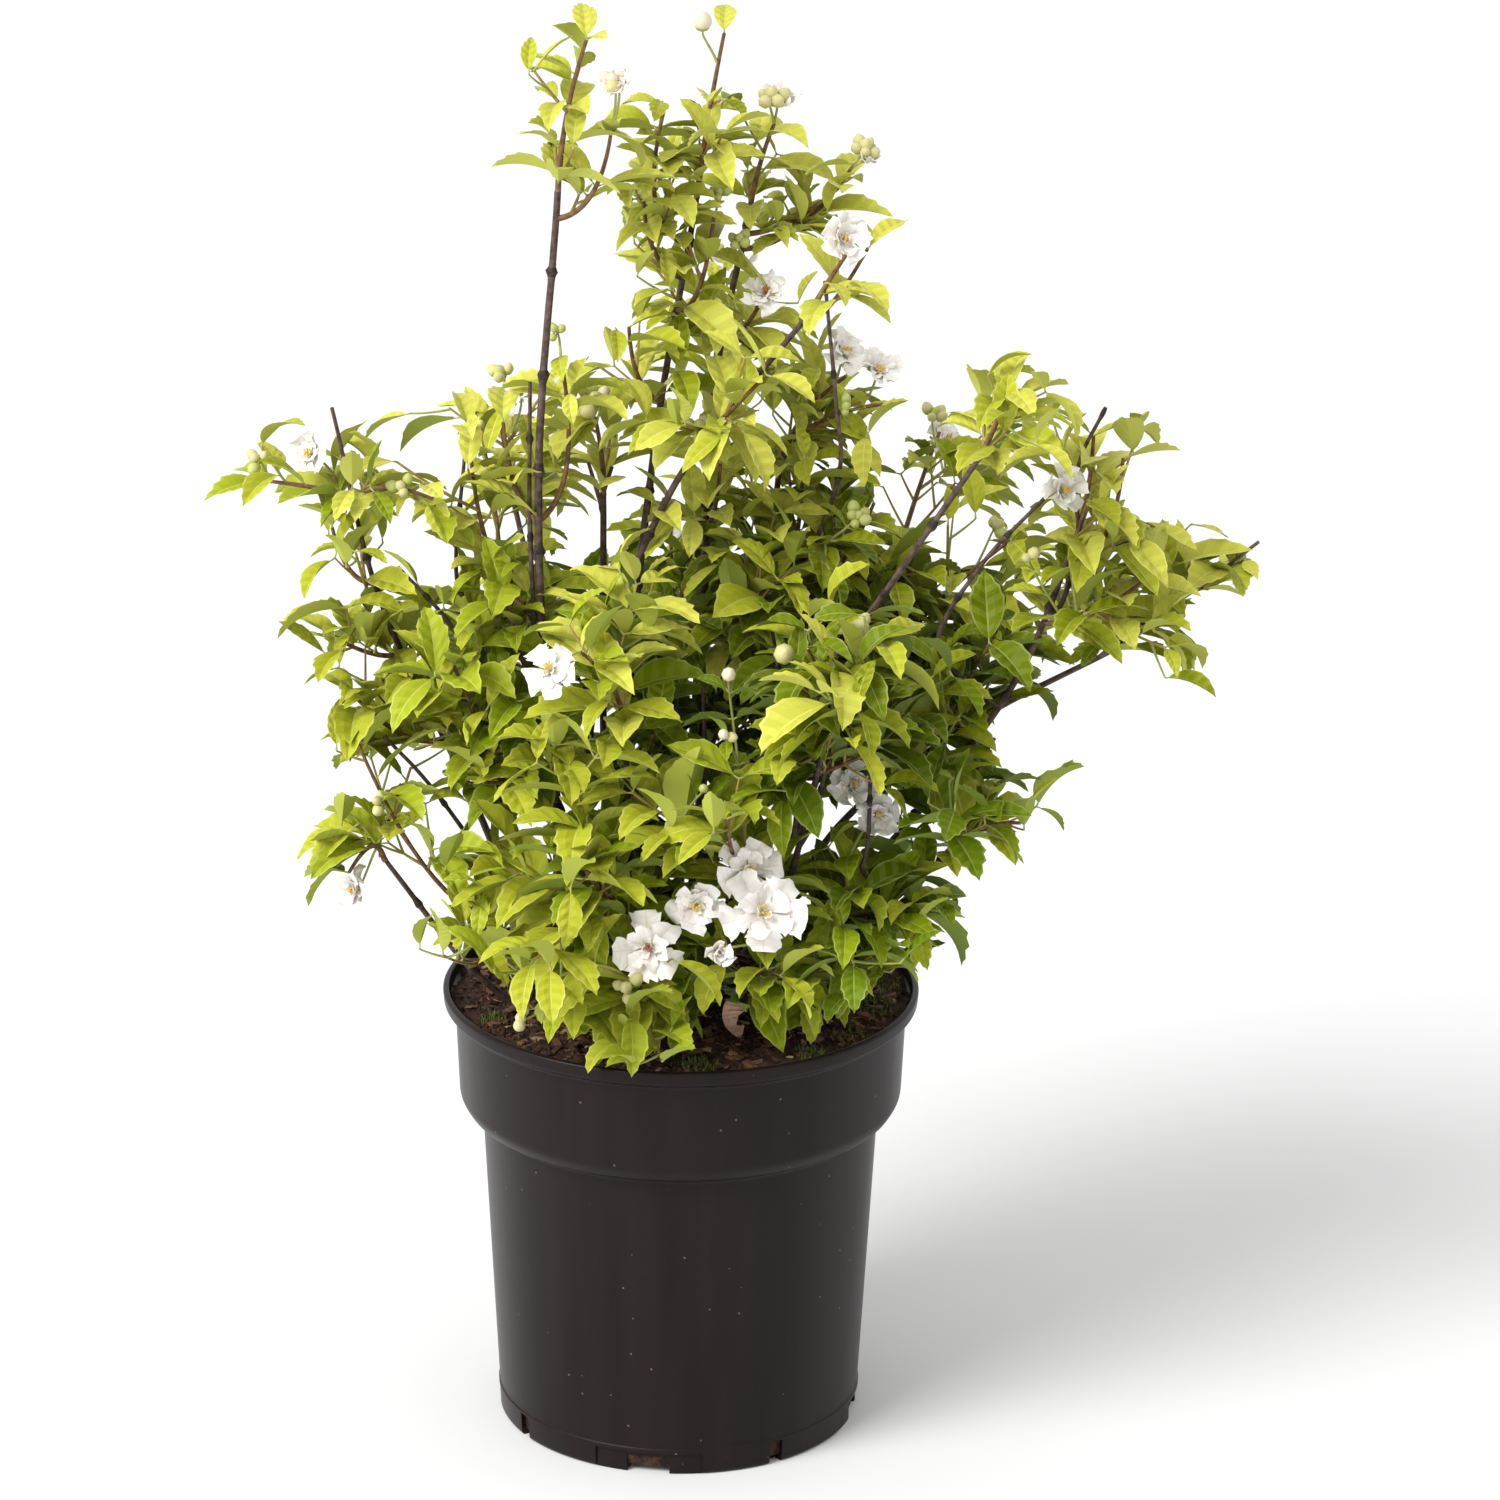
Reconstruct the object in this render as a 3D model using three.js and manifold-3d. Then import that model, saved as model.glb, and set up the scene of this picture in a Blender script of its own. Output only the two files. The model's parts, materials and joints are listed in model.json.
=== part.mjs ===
// Mock orange (Philadelphus), a semi-double one with golden green leaves, in its round nursery pot.
// Millimetres, +Z up. The origin is the middle of the pot's flat underside, +X is to the right
// and -Y is the front. Every stem, every leafy shoot, the compost and the pot is a solid of its own.

import * as THREE from 'three';
import { mergeVertices } from 'three/addons/utils/BufferGeometryUtils.js';
import Module from 'manifold-3d';

// ---------------------------------------------------------------- driving dimensions
const GAP = 0.3;                 // clearance between two solids that touch on the real plant
const WELD = 1e-4;               // corners closer than this are one
const TRIM = 0.1;                // edges shorter than this are dropped where solids are fused
const SHORTEST_EDGE = 0.02;      // the least that may be left of an edge
const THINNEST_FACE = 0.004;     // and of a face's height
const NEARLY_UPRIGHT = 0.95;     // a direction with more rise than this has no level side of its own

const POT_HEIGHT = 220;
const POT_FOOT_RADIUS = 88;
const POT_SHOULDER_RADIUS = 96.5;
const POT_SHOULDER_HEIGHT = 163; // here the stacking band steps out over the body
const POT_BAND_RADIUS = 107;
const POT_BAND_TOP_RADIUS = 109;
const POT_RIM_RADIUS = 115;
const POT_LIP_WIDTH = 3;         // the lip along the rim, across its top
const POT_LIP_HEIGHT = 7;
const POT_FLARE_HEIGHT = 3;      // under the lip the wall widens over this height
const POT_FLARE_TOP = 214.5;     // where the widened inside meets the lip
const POT_WALL = 2;
const POT_FLOOR = 3;
const POT_SIDES = 40;

const DRAIN_COUNT = 4;           // wide drain notches round the foot, with a slit between each two
const DRAIN_FIRST_TURN = -99;    // degrees about +Z, 0 is +X
const NOTCH_WIDTH = 21;
const NOTCH_HEIGHT = 9;
const NOTCH_CORNER = 2;
const NOTCH_DEPTH = 28;
const DRAIN_REACH = 4;           // a cutter stands out past the foot so far
const SLIT_TURN = 42;            // from a notch to the slit after it
const SLIT_WIDTH = 7;
const SLIT_HEIGHT = 12;
const SLIT_DEPTH = 6;

const SOIL = 216.5;              // level of the compost
const SOIL_EDGE_DROP = 1;        // it lies a little lower along the wall
const SOIL_EDGE_WIDTH = 12;

const STEM_SIDES = 6;
const STEM_STEP = 55;            // length of a straight piece of a stem
const FLARE_HEIGHT = 9;
const FLARE_WIDTH = 1.7;         // the foot's radius over the stem's

const TWIG_SIDES = 3;
const TWIG_RADIUS = 2;
const TWIG_TIP_RADIUS = 1.3;
const SIDE_TWIG_RADIUS = 1;
const TWIG_START = 3;            // a twig leaves its stem straight for so far
const TWIG_BEND = 0.4;           // and its bend lies at this share of its span
const TWIG_OPENING = 50;         // degrees between a side twig and its twig
const TWIG_RISE = 0.12;          // how far a side twig's tip turns up, over its length
const TWIG_LENGTHS = [0.7, 1.2]; // shortest and longest side twig over the shoot's "wide"

const INTERNODE = 27;            // between two pairs of leaves
const NODE_SETBACK = 3;          // leaves and side twigs leave their twig just before its bends
const PAIR_WANDER = 40;          // degrees that a pair may turn about its twig
const LEVEL_PAIRS = 0.5;         // how far pairs on a level twig are pressed into its plane

const LEAF_LENGTH = 52;
const LEAF_LENGTHS = [0.8, 1.1]; // shortest and longest leaf over that
const END_LEAF = 0.75;           // the last pair of a twig is smaller
const SIDE_LEAF = 0.9;           // and so are those of side twigs
const SMALLEST_LEAF = 22;
const LEAF_SHAPE = 0.5;          // width over length
const LEAF_WIDEST = 0.4;
const LEAF_THICKNESS = 1.4;      // at the midrib, from where it thins out to the edges
const LEAF_ARCH = 0.1;           // how far the blade bows up between root and tip
const LEAF_OPENING = 58;         // degrees between a leaf and its twig
const LEAF_OPENINGS = 24;        // the range of that angle
const LEAF_SAGS = [0.13, 0.5];   // least and most that a leaf's way drops
const LEAF_ROLL = 1;             // range in radians of its roll about its own length
const LEAF_ROOT = 0.3;           // how far a leaf's root runs past the middle of its twig

const BUDS_RADIUS = 8;           // a knot of three to five round buds
const PETALS = 5;
const BLOOM_RADIUS = 21;
const BLOOM_NOTCH = 0.72;        // the radius between two petals over that at their tips
const BLOOM_HEART = 4;
const BLOOM_DEPTH = 7;
const BLOOM_LIFT = 0.7;          // how far an open bloom looks up, over how far it looks out

const ROOM = 22;                 // a shoot's space reaches so far past its side twigs
const ATTEMPTS = 16;              // a leaf that would touch another piece tries again so often
const SHRINK = 0.95;             // and is a little smaller each time
const FIRST_SEED = 4021;
const SEED_STEP = 137;

// ---------------------------------------------------------------- the plant's own sizes
// A stem runs from its foot in the compost through its bends to its tip.
const STEMS = [
  { name: 'tall_left', thick: 4.6, thin: 3.2,
    route: [[-44, -18, SOIL], [-60, -38, 340], [-67, -44, 480], [-58, -38, 622]] },
  { name: 'centre_left', thick: 4, thin: 3,
    route: [[-28, 4, SOIL], [-37, 0, 330], [-38, 3, 466]] },
  { name: 'tall_centre', thick: 4.6, thin: 2.8,
    route: [[-13, 14, SOIL], [-25, 6, 350], [-15, 10, 480], [5, 21, 606]] },
  { name: 'tall_right', thick: 4.4, thin: 3,
    route: [[6, 24, SOIL], [9, 30, 350], [13, 39, 500], [29, 42, 590]] },
  { name: 'leaning', thick: 4.4, thin: 2.6,
    route: [[-30, -20, SOIL], [-44, -14, 350], [-8, -13, 468], [58, -26, 563]] },
  { name: 'right_long', thick: 4.2, thin: 2.6,
    route: [[13, -20, SOIL], [40, -52, 350], [96, -70, 445], [136, -78, 510]] },
  { name: 'right_far', thick: 4.2, thin: 2.8,
    route: [[31, -7, SOIL], [90, -15, 286], [154, -25, 379], [182, -30, 452]] },
  { name: 'right_low', thick: 4, thin: 2.6,
    route: [[36, 10, SOIL], [72, 4, 296], [136, 2, 352], [204, 10, 388]] },
  { name: 'left_upright', thick: 4.2, thin: 1.8,
    route: [[-62, 0, SOIL], [-100, -10, 318], [-142, -22, 420], [-163, -30, 516]] },
  { name: 'left_lowest', thick: 3.6, thin: 2.2,
    route: [[-82, -18, SOIL], [-105, -30, 244], [-140, -45, 299]] },
  { name: 'back_middle', thick: 4.4, thin: 3,
    route: [[20, 40, SOIL], [36, 46, 330], [44, 50, 455]] },
  { name: 'back_left', thick: 4.2, thin: 2.6,
    route: [[-26, 36, SOIL], [-56, 80, 316], [-84, 122, 420]] },
  { name: 'back_top', thick: 4.4, thin: 2.6,
    route: [[-4, 44, SOIL], [6, 84, 350], [12, 104, 470]] },
  { name: 'back_right', thick: 4.2, thin: 2.6,
    route: [[32, 50, SOIL], [70, 92, 306], [104, 128, 396]] },
  { name: 'front_left', thick: 4, thin: 2.6,
    route: [[-14, -40, SOIL], [-22, -66, 296], [-26, -84, 378]] },
  { name: 'front_right', thick: 4, thin: 2.6,
    route: [[28, -34, SOIL], [50, -62, 292], [66, -82, 368]] },
  { name: 'low_right', thick: 3.6, thin: 2.4,
    route: [[54, -16, SOIL], [84, -30, 258], [124, -44, 302]] },
];

// A leafy shoot grows from a stem at a share of that stem's length (1 is its tip) and ends at
// the point "to". "wide" is how long its side twigs get, "bare" the share of it without leaves,
// "lift" how far it bows up and "bushy" the share of its leaf roots that bear a side twig. Its tips
// bear so many open blooms, then so many knots of buds.
const SHOOTS = [
  { stem: 'tall_left', name: 'top', at: 1, to: [-45, -35, 692], wide: 22, bare: 0.1 },
  { stem: 'tall_left', name: 'shoulder', at: 0.5, to: [-100, -22, 504], wide: 40, bare: 0.45, buds: 1 },
  { stem: 'tall_left', name: 'low', at: 0.3, to: [-92, -62, 344], wide: 50, bushy: 0.8 },
  { stem: 'centre_left', name: 'top', at: 1, to: [-42, 0, 504], wide: 48, buds: 1 },
  { stem: 'tall_centre', name: 'top', at: 1, to: [17, 25, 682], wide: 28, buds: 1 },
  { stem: 'tall_centre', name: 'upper', at: 0.9, to: [-20, 4, 616], wide: 28, buds: 1 },
  { stem: 'tall_centre', name: 'middle', at: 0.75, to: [-26, -8, 550], wide: 36 },
  { stem: 'tall_right', name: 'top', at: 1, to: [45, 44, 645], wide: 20, blooms: 1 },
  { stem: 'tall_right', name: 'arm', at: 0.96, to: [82, 44, 622], wide: 16, bare: 0.4, buds: 1 },
  { stem: 'tall_right', name: 'middle', at: 0.84, to: [38, 14, 562], wide: 32, blooms: 1 },
  { stem: 'tall_right', name: 'low', at: 0.45, to: [44, -14, 430], wide: 52, bushy: 0.8 },
  { stem: 'leaning', name: 'top', at: 1, to: [76, -29, 594], wide: 20, bare: 0.3, blooms: 1 },
  { stem: 'right_long', name: 'top', at: 1, to: [148, -80, 540], wide: 44 },
  { stem: 'right_long', name: 'low', at: 0.42, to: [92, -86, 372], wide: 48, bushy: 0.8 },
  { stem: 'right_far', name: 'top', at: 1, to: [190, -30, 506], wide: 32, buds: 1 },
  { stem: 'right_far', name: 'side', at: 0.86, to: [216, -34, 438], wide: 36 },
  { stem: 'right_low', name: 'top', at: 1, to: [264, 13, 432], wide: 36, bare: 0.05, bushy: 0.7, buds: 1 },
  { stem: 'right_low', name: 'inner', at: 0.45, to: [156, 50, 430], wide: 50, bare: 0.3 },
  { stem: 'left_upright', name: 'left', at: 0.86, to: [-196, -16, 476], wide: 22, lift: 0.15, buds: 1 },
  { stem: 'left_upright', name: 'right', at: 0.86, to: [-116, -36, 474], wide: 22, lift: 0.2, buds: 1 },
  { stem: 'left_upright', name: 'middle', at: 0.6, to: [-162, -32, 404], wide: 32 },
  { stem: 'left_upright', name: 'inner', at: 0.42, to: [-96, 48, 474], wide: 44, bare: 0.4 },
  { stem: 'left_upright', name: 'low', at: 0.36, to: [-106, -58, 400], wide: 40 },
  { stem: 'left_upright', name: 'arm', at: 0.14, to: [-152, -50, 360], wide: 30, bare: 0.6 },
  { stem: 'left_lowest', name: 'top', at: 1, to: [-156, -56, 296], wide: 28, lift: 0.5, blooms: 1 },
  { stem: 'left_lowest', name: 'inner', at: 0.3, to: [-98, -72, 286], wide: 44 },
  { stem: 'back_middle', name: 'top', at: 1, to: [76, 52, 510], wide: 42, blooms: 1 },
  { stem: 'back_middle', name: 'right', at: 0.6, to: [96, 26, 404], wide: 50, bushy: 0.7 },
  { stem: 'back_left', name: 'top', at: 1, to: [-94, 136, 478], wide: 44, buds: 1 },
  { stem: 'back_left', name: 'low', at: 0.5, to: [-116, 92, 348], wide: 44 },
  { stem: 'back_top', name: 'top', at: 1, to: [18, 112, 548], wide: 42, blooms: 1 },
  { stem: 'back_top', name: 'low', at: 0.55, to: [-8, 138, 408], wide: 46 },
  { stem: 'back_right', name: 'top', at: 1, to: [124, 144, 456], wide: 42, buds: 1 },
  { stem: 'back_right', name: 'low', at: 0.5, to: [110, 104, 318], wide: 46 },
  { stem: 'front_left', name: 'top', at: 1, to: [-46, -96, 420], wide: 48, bushy: 0.7, blooms: 1 },
  { stem: 'front_left', name: 'side', at: 0.45, to: [-44, -112, 322], wide: 52, bushy: 0.9 },
  { stem: 'front_left', name: 'low', at: 0.12, to: [-20, -108, 268], wide: 44, bushy: 0.8, blooms: 1 },
  { stem: 'front_right', name: 'top', at: 1, to: [58, -100, 424], wide: 48, bushy: 0.7, buds: 1 },
  { stem: 'front_right', name: 'side', at: 0.5, to: [22, -114, 346], wide: 52, bushy: 0.9 },
  { stem: 'front_right', name: 'low', at: 0.15, to: [48, -104, 286], wide: 46, bushy: 0.8, blooms: 1 },
  { stem: 'low_right', name: 'top', at: 1, to: [160, -50, 322], wide: 44, lift: 0.2 },
];
const BARE = 0.15;
const LIFT = 0.12;
const BUSHY = 0.55;

// ---------------------------------------------------------------- colours
const PAINT = {
  pot: { color: 0x2b2a2d, roughness: 0.55, metalness: 0 },
  compost: { color: 0x3a2417, roughness: 0.95, metalness: 0 },
  bark: { color: 0x4a3a3a, roughness: 0.8, metalness: 0 },
  leaf: { color: 0x8fa83a, roughness: 0.6, metalness: 0 },
};

// ---------------------------------------------------------------- solids
const wasm = await Module();
wasm.setup();

function solidOf(geometry) {
  geometry.deleteAttribute('normal');
  geometry.deleteAttribute('uv');
  const welded = mergeVertices(geometry, WELD);
  return new wasm.Manifold(new wasm.Mesh({
    numProp: 3,
    vertProperties: new Float32Array(welded.attributes.position.array),
    triVerts: new Uint32Array(welded.index.array),
  }));
}

function meshOf(name, solid, paint) {
  const { vertProperties, triVerts } = solid.getMesh();
  const geometry = new THREE.BufferGeometry();
  geometry.setAttribute('position', new THREE.BufferAttribute(vertProperties, 3));
  geometry.setIndex(new THREE.BufferAttribute(triVerts, 1));
  geometry.computeVertexNormals();
  const mesh = new THREE.Mesh(geometry, new THREE.MeshStandardMaterial(PAINT[paint]));
  mesh.name = name;
  return mesh;
}

// The largest body of a solid: loose scraps go, and a hollow that fusing sealed is filled.
function wholeBody(solid) {
  const bodies = solid.asOriginal().simplify(TRIM).decompose();
  return bodies.reduce((largest, body) => (body.volume() > largest.volume() ? body : largest));
}

// Whether a solid has a face that is too short or too thin to be a face of its own.
function hasSlivers(solid) {
  const { vertProperties, triVerts } = solid.getMesh();
  const corner = (k) => new THREE.Vector3().fromArray(vertProperties, 3 * triVerts[k]);
  for (let k = 0; k < triVerts.length; k += 3) {
    const face = new THREE.Triangle(corner(k), corner(k + 1), corner(k + 2));
    const edges = [face.a.distanceTo(face.b), face.b.distanceTo(face.c), face.c.distanceTo(face.a)];
    if (Math.min(...edges) < SHORTEST_EDGE) return true;
    if (2 * face.getArea() / Math.max(...edges) < THINNEST_FACE) return true;
  }
  return false;
}

// A body with one more piece fused on, or null where that would leave slivers, now or when the
// next piece is fused on.
function fused(body, piece) {
  const whole = wholeBody(body.add(piece));
  return hasSlivers(whole) || hasSlivers(wholeBody(whole)) ? null : whole;
}

function turnedProfile(profile) {
  const points = profile.map(([radius, height]) => new THREE.Vector2(radius, height));
  return solidOf(new THREE.LatheGeometry(points, POT_SIDES).rotateX(Math.PI / 2));
}

// ---------------------------------------------------------------- pot and compost
// The inside of the wall, below its shoulder and in the stacking band above that.
function insideBody(height) {
  const share = height / POT_SHOULDER_HEIGHT;
  return THREE.MathUtils.lerp(POT_FOOT_RADIUS, POT_SHOULDER_RADIUS, share) - POT_WALL;
}

function insideBand(height) {
  const share = (height - POT_SHOULDER_HEIGHT) / (POT_HEIGHT - POT_SHOULDER_HEIGHT);
  return THREE.MathUtils.lerp(POT_BAND_RADIUS, POT_BAND_TOP_RADIUS, share) - POT_WALL;
}

// Inside the lip the wall is nearly upright.
function insideLip(height) {
  return POT_RIM_RADIUS - POT_LIP_WIDTH - (POT_HEIGHT - height) * 0.1;
}

function potWall() {
  const ledge = POT_SHOULDER_HEIGHT - POT_WALL;
  return turnedProfile([
    [0, 0],
    [POT_FOOT_RADIUS, 0],
    [POT_SHOULDER_RADIUS, ledge],
    [POT_BAND_RADIUS, ledge],
    [POT_BAND_TOP_RADIUS, POT_HEIGHT - POT_LIP_HEIGHT - POT_FLARE_HEIGHT],
    [POT_RIM_RADIUS, POT_HEIGHT - POT_LIP_HEIGHT],
    [POT_RIM_RADIUS, POT_HEIGHT],
    [insideLip(POT_HEIGHT), POT_HEIGHT],
    [insideLip(POT_FLARE_TOP), POT_FLARE_TOP],
    [insideBand(POT_FLARE_TOP - POT_FLARE_HEIGHT), POT_FLARE_TOP - POT_FLARE_HEIGHT],
    [insideBand(POT_SHOULDER_HEIGHT), POT_SHOULDER_HEIGHT],
    [insideBody(POT_SHOULDER_HEIGHT), POT_SHOULDER_HEIGHT],
    [insideBody(POT_FLOOR), POT_FLOOR],
    [0, POT_FLOOR],
  ]);
}

// A drain hole with its upper corners cut off, from the foot's edge inwards.
function drain(width, height, depth, turn) {
  const half = width / 2;
  const outline = new THREE.Shape();
  outline.moveTo(-half, -DRAIN_REACH);
  outline.lineTo(half, -DRAIN_REACH);
  outline.lineTo(half, height - NOTCH_CORNER);
  outline.lineTo(half - NOTCH_CORNER, height);
  outline.lineTo(NOTCH_CORNER - half, height);
  outline.lineTo(-half, height - NOTCH_CORNER);
  const cutter = new THREE.ExtrudeGeometry(outline, { depth: depth + DRAIN_REACH, bevelEnabled: false });
  cutter.rotateX(Math.PI / 2);
  cutter.rotateZ(Math.PI / 2);
  cutter.translate(POT_FOOT_RADIUS - depth, 0, 0);
  cutter.rotateZ(THREE.MathUtils.degToRad(turn));
  return solidOf(cutter);
}

function pot() {
  let body = potWall();
  for (let k = 0; k < DRAIN_COUNT; k += 1) {
    const turn = DRAIN_FIRST_TURN + k * 360 / DRAIN_COUNT;
    body = body.subtract(drain(NOTCH_WIDTH, NOTCH_HEIGHT, NOTCH_DEPTH, turn));
    body = body.subtract(drain(SLIT_WIDTH, SLIT_HEIGHT, SLIT_DEPTH, turn + SLIT_TURN));
  }
  return wholeBody(body);
}

function compost() {
  const edge = insideLip(SOIL - SOIL_EDGE_DROP) - GAP;
  return turnedProfile([
    [0, POT_FLOOR + GAP],
    [insideBody(POT_FLOOR) - GAP, POT_FLOOR + GAP],
    [insideBody(POT_SHOULDER_HEIGHT) - GAP, POT_SHOULDER_HEIGHT + GAP],
    [insideBand(POT_SHOULDER_HEIGHT) - GAP, POT_SHOULDER_HEIGHT + GAP],
    [insideBand(POT_FLARE_TOP - POT_FLARE_HEIGHT) - GAP, POT_FLARE_TOP - POT_FLARE_HEIGHT + GAP],
    [insideLip(POT_FLARE_TOP) - GAP, POT_FLARE_TOP + GAP],
    [edge, SOIL - SOIL_EDGE_DROP],
    [edge - SOIL_EDGE_WIDTH, SOIL],
    [0, SOIL],
  ]);
}

// ---------------------------------------------------------------- limbs
const UP = new THREE.Vector3(0, 0, 1);
const vector = ([x, y, z]) => new THREE.Vector3(x, y, z);

// A tapering limb through a row of points, with flat ends across its first and last direction.
function limb(points, radii, sides, firstDirection, lastDirection = null) {
  const steps = points.length - 1;
  const directions = points.map((point, k) => {
    const before = points[Math.max(k - 1, 0)];
    const after = points[Math.min(k + 1, steps)];
    return after.clone().sub(before).normalize();
  });
  directions[0] = firstDirection;
  directions[steps] = lastDirection ?? directions[steps];
  const sideways = [];
  let side = Math.abs(directions[0].z) > NEARLY_UPRIGHT ? new THREE.Vector3(1, 0, 0) : UP;
  for (const direction of directions) {
    side = side.clone().addScaledVector(direction, -side.dot(direction)).normalize();
    sideways.push(side);
  }
  const geometry = new THREE.CylinderGeometry(1, 1, 1, sides, steps);
  const corners = geometry.attributes.position;
  for (let k = 0; k < corners.count; k += 1) {
    const ring = Math.round((corners.getY(k) + 0.5) * steps);
    const across = sideways[ring];
    const third = across.clone().cross(directions[ring]);
    const place = points[ring].clone();
    place.addScaledVector(across, corners.getX(k) * radii[ring]);
    place.addScaledVector(third, corners.getZ(k) * radii[ring]);
    corners.setXYZ(k, place.x, place.y, place.z);
  }
  return solidOf(geometry);
}

function growStem(stem) {
  const curve = new THREE.CatmullRomCurve3(stem.route.map(vector), false, 'catmullrom', 0.5);
  const length = curve.getLength();
  const pieces = Math.round(length / STEM_STEP);
  const shares = [0, FLARE_HEIGHT / length];
  for (let k = 1; k <= pieces; k += 1) shares.push(k / pieces);
  const points = shares.map((share) => curve.getPointAt(share));
  points[0].z += GAP;
  const radii = shares.map((share) => THREE.MathUtils.lerp(stem.thick, stem.thin, share) / 2);
  radii[0] *= FLARE_WIDTH;
  return { ...stem, curve, solid: limb(points, radii, STEM_SIDES, UP, curve.getTangentAt(1)) };
}

// ---------------------------------------------------------------- leafy shoots
// Numbers from 0 to 1 that come out the same each time for one seed.
function seededNumbers(seed) {
  let state = seed;
  return () => {
    state = (state * 16807) % 2147483647;
    return (state - 1) / 2147483646;
  };
}

const between = ([least, most], share) => THREE.MathUtils.lerp(least, most, share);

// Where a shoot leaves its stem: straight on from the tip, or sideways just clear of the bark.
function rootOf(shoot, stem) {
  const middle = stem.curve.getPointAt(shoot.at);
  const along = stem.curve.getTangentAt(shoot.at);
  if (shoot.at === 1) return { root: middle.addScaledVector(along, GAP), out: along };
  const out = vector(shoot.to).sub(middle);
  out.addScaledVector(along, -out.dot(along)).normalize();
  const radius = THREE.MathUtils.lerp(stem.thick, stem.thin, shoot.at) / 2;
  return { root: middle.addScaledVector(out, radius + GAP), out };
}

// The twig's own directions: level is across it, rise is square to both.
function frameOf(direction) {
  const level = Math.abs(direction.z) > NEARLY_UPRIGHT ? new THREE.Vector3(1, 0, 0) : UP.clone();
  level.cross(direction).negate().normalize();
  return { level, rise: level.clone().cross(direction) };
}

// The way of one of the two leaves or twigs of a pair, which stands a quarter turn from the last.
function pairSide(direction, pair, hand, wander) {
  const { level, rise } = frameOf(direction);
  const phase = THREE.MathUtils.degToRad(90 * (pair % 2) + PAIR_WANDER * (wander - 0.5));
  const flat = THREE.MathUtils.lerp(LEVEL_PAIRS, 1, Math.abs(direction.z));
  const side = level.multiplyScalar(Math.cos(phase)).addScaledVector(rise, flat * Math.sin(phase));
  return side.multiplyScalar(hand).normalize();
}

function openedFrom(direction, side, angle) {
  const opening = THREE.MathUtils.degToRad(angle);
  return direction.clone().multiplyScalar(Math.cos(opening)).addScaledVector(side, Math.sin(opening));
}

// The points of a shoot's own twig, with its pairs of leaves at all but the first.
function twigOf(shoot, root, out) {
  const end = vector(shoot.to);
  const span = end.distanceTo(root);
  const bend = root.clone().addScaledVector(out, TWIG_BEND * span);
  bend.addScaledVector(UP, (shoot.lift ?? LIFT) * span);
  const curve = new THREE.QuadraticBezierCurve3(root, bend, end);
  const bare = shoot.bare ?? BARE;
  const pairs = Math.max(1, Math.round(span * (1 - bare) / INTERNODE));
  const points = [root, root.clone().addScaledVector(out, TWIG_START)];
  for (let k = 0; k <= pairs; k += 1) points.push(curve.getPoint(bare + (1 - bare) * k / pairs));
  return { points, pairs };
}

// A leaf's blade is an arched lozenge, keeled underneath along its midrib.
function blade(root, along, upward, length) {
  const geometry = new THREE.OctahedronGeometry(1);
  const corners = geometry.attributes.position;
  const across = along.clone().cross(upward);
  for (let k = 0; k < corners.count; k += 1) {
    const [x, y, z] = [corners.getX(k), corners.getY(k), corners.getZ(k)].map(Math.round);
    const inMiddle = x === 0;
    const far = inMiddle ? LEAF_WIDEST : (x + 1) / 2;
    const keel = z < 0 ? LEAF_THICKNESS : 0;
    const place = root.clone().addScaledVector(along, far * length);
    place.addScaledVector(across, -y * LEAF_SHAPE * length / 2);
    place.addScaledVector(upward, (inMiddle ? LEAF_ARCH * length : 0) - keel);
    corners.setXYZ(k, place.x, place.y, place.z);
  }
  return solidOf(geometry).simplify();
}

// The way that a blade's upper side looks.
function upwardOf(along, roll) {
  const upward = UP.clone().addScaledVector(along, -along.z).normalize();
  return upward.applyAxisAngle(along, roll);
}

function leafAt(node, hand, draw, attempt) {
  const side = pairSide(node.direction, node.pair, hand, draw());
  const along = openedFrom(node.direction, side, LEAF_OPENING + LEAF_OPENINGS * (draw() - 0.5));
  along.z -= between(LEAF_SAGS, draw());
  along.normalize();
  const length = LEAF_LENGTH * node.size * between(LEAF_LENGTHS, draw()) * SHRINK ** attempt;
  const root = node.point.clone().addScaledVector(along, -LEAF_ROOT);
  const upward = upwardOf(along, LEAF_ROLL * (draw() - 0.5));
  return blade(root, along, upward, Math.max(SMALLEST_LEAF, length));
}

// An open bloom is a shallow bowl with lobes that looks outwards and up from its twig's tip.
function bloomAt(tip) {
  const outwards = new THREE.Vector3(tip.point.x, tip.point.y, 0).normalize();
  const face = outwards.addScaledVector(UP, BLOOM_LIFT).normalize();
  const { level, rise } = frameOf(face);
  const geometry = new THREE.CylinderGeometry(BLOOM_RADIUS, BLOOM_HEART, BLOOM_DEPTH, 2 * PETALS, 1);
  const corners = geometry.attributes.position;
  for (let k = 0; k < corners.count; k += 1) {
    const [x, y, z] = [corners.getX(k), corners.getY(k), corners.getZ(k)];
    const spoke = Math.round(Math.atan2(z, x) * PETALS / Math.PI);
    const notch = y > 0 && spoke % 2 !== 0 ? BLOOM_NOTCH : 1;
    const sunken = y > 0 && Math.hypot(x, z) < 1 ? BLOOM_DEPTH / 2 : 0;
    const place = tip.point.clone().addScaledVector(level, x * notch);
    place.addScaledVector(rise, z * notch).addScaledVector(face, y + BLOOM_DEPTH / 4 - sunken);
    corners.setXYZ(k, place.x, place.y, place.z);
  }
  return solidOf(geometry);
}

// A knot of round buds stands just beyond its twig's tip.
function budsAt(tip) {
  const knot = new THREE.IcosahedronGeometry(BUDS_RADIUS, 0);
  const middle = tip.point.clone().addScaledVector(tip.direction, BUDS_RADIUS / 2);
  return solidOf(knot.translate(middle.x, middle.y, middle.z));
}

// ---------------------------------------------------------------- growth
// Every piece that stands already, with the mass and the leaf pair that it belongs to. A leaf keeps
// clear of all others, also on its own shoot, apart from the other leaf of its pair and the twigs.
const standing = [];

function stand(owner, solid, node = null) {
  standing.push({ owner, solid, node, box: solid.boundingBox() });
  return solid;
}

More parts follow.
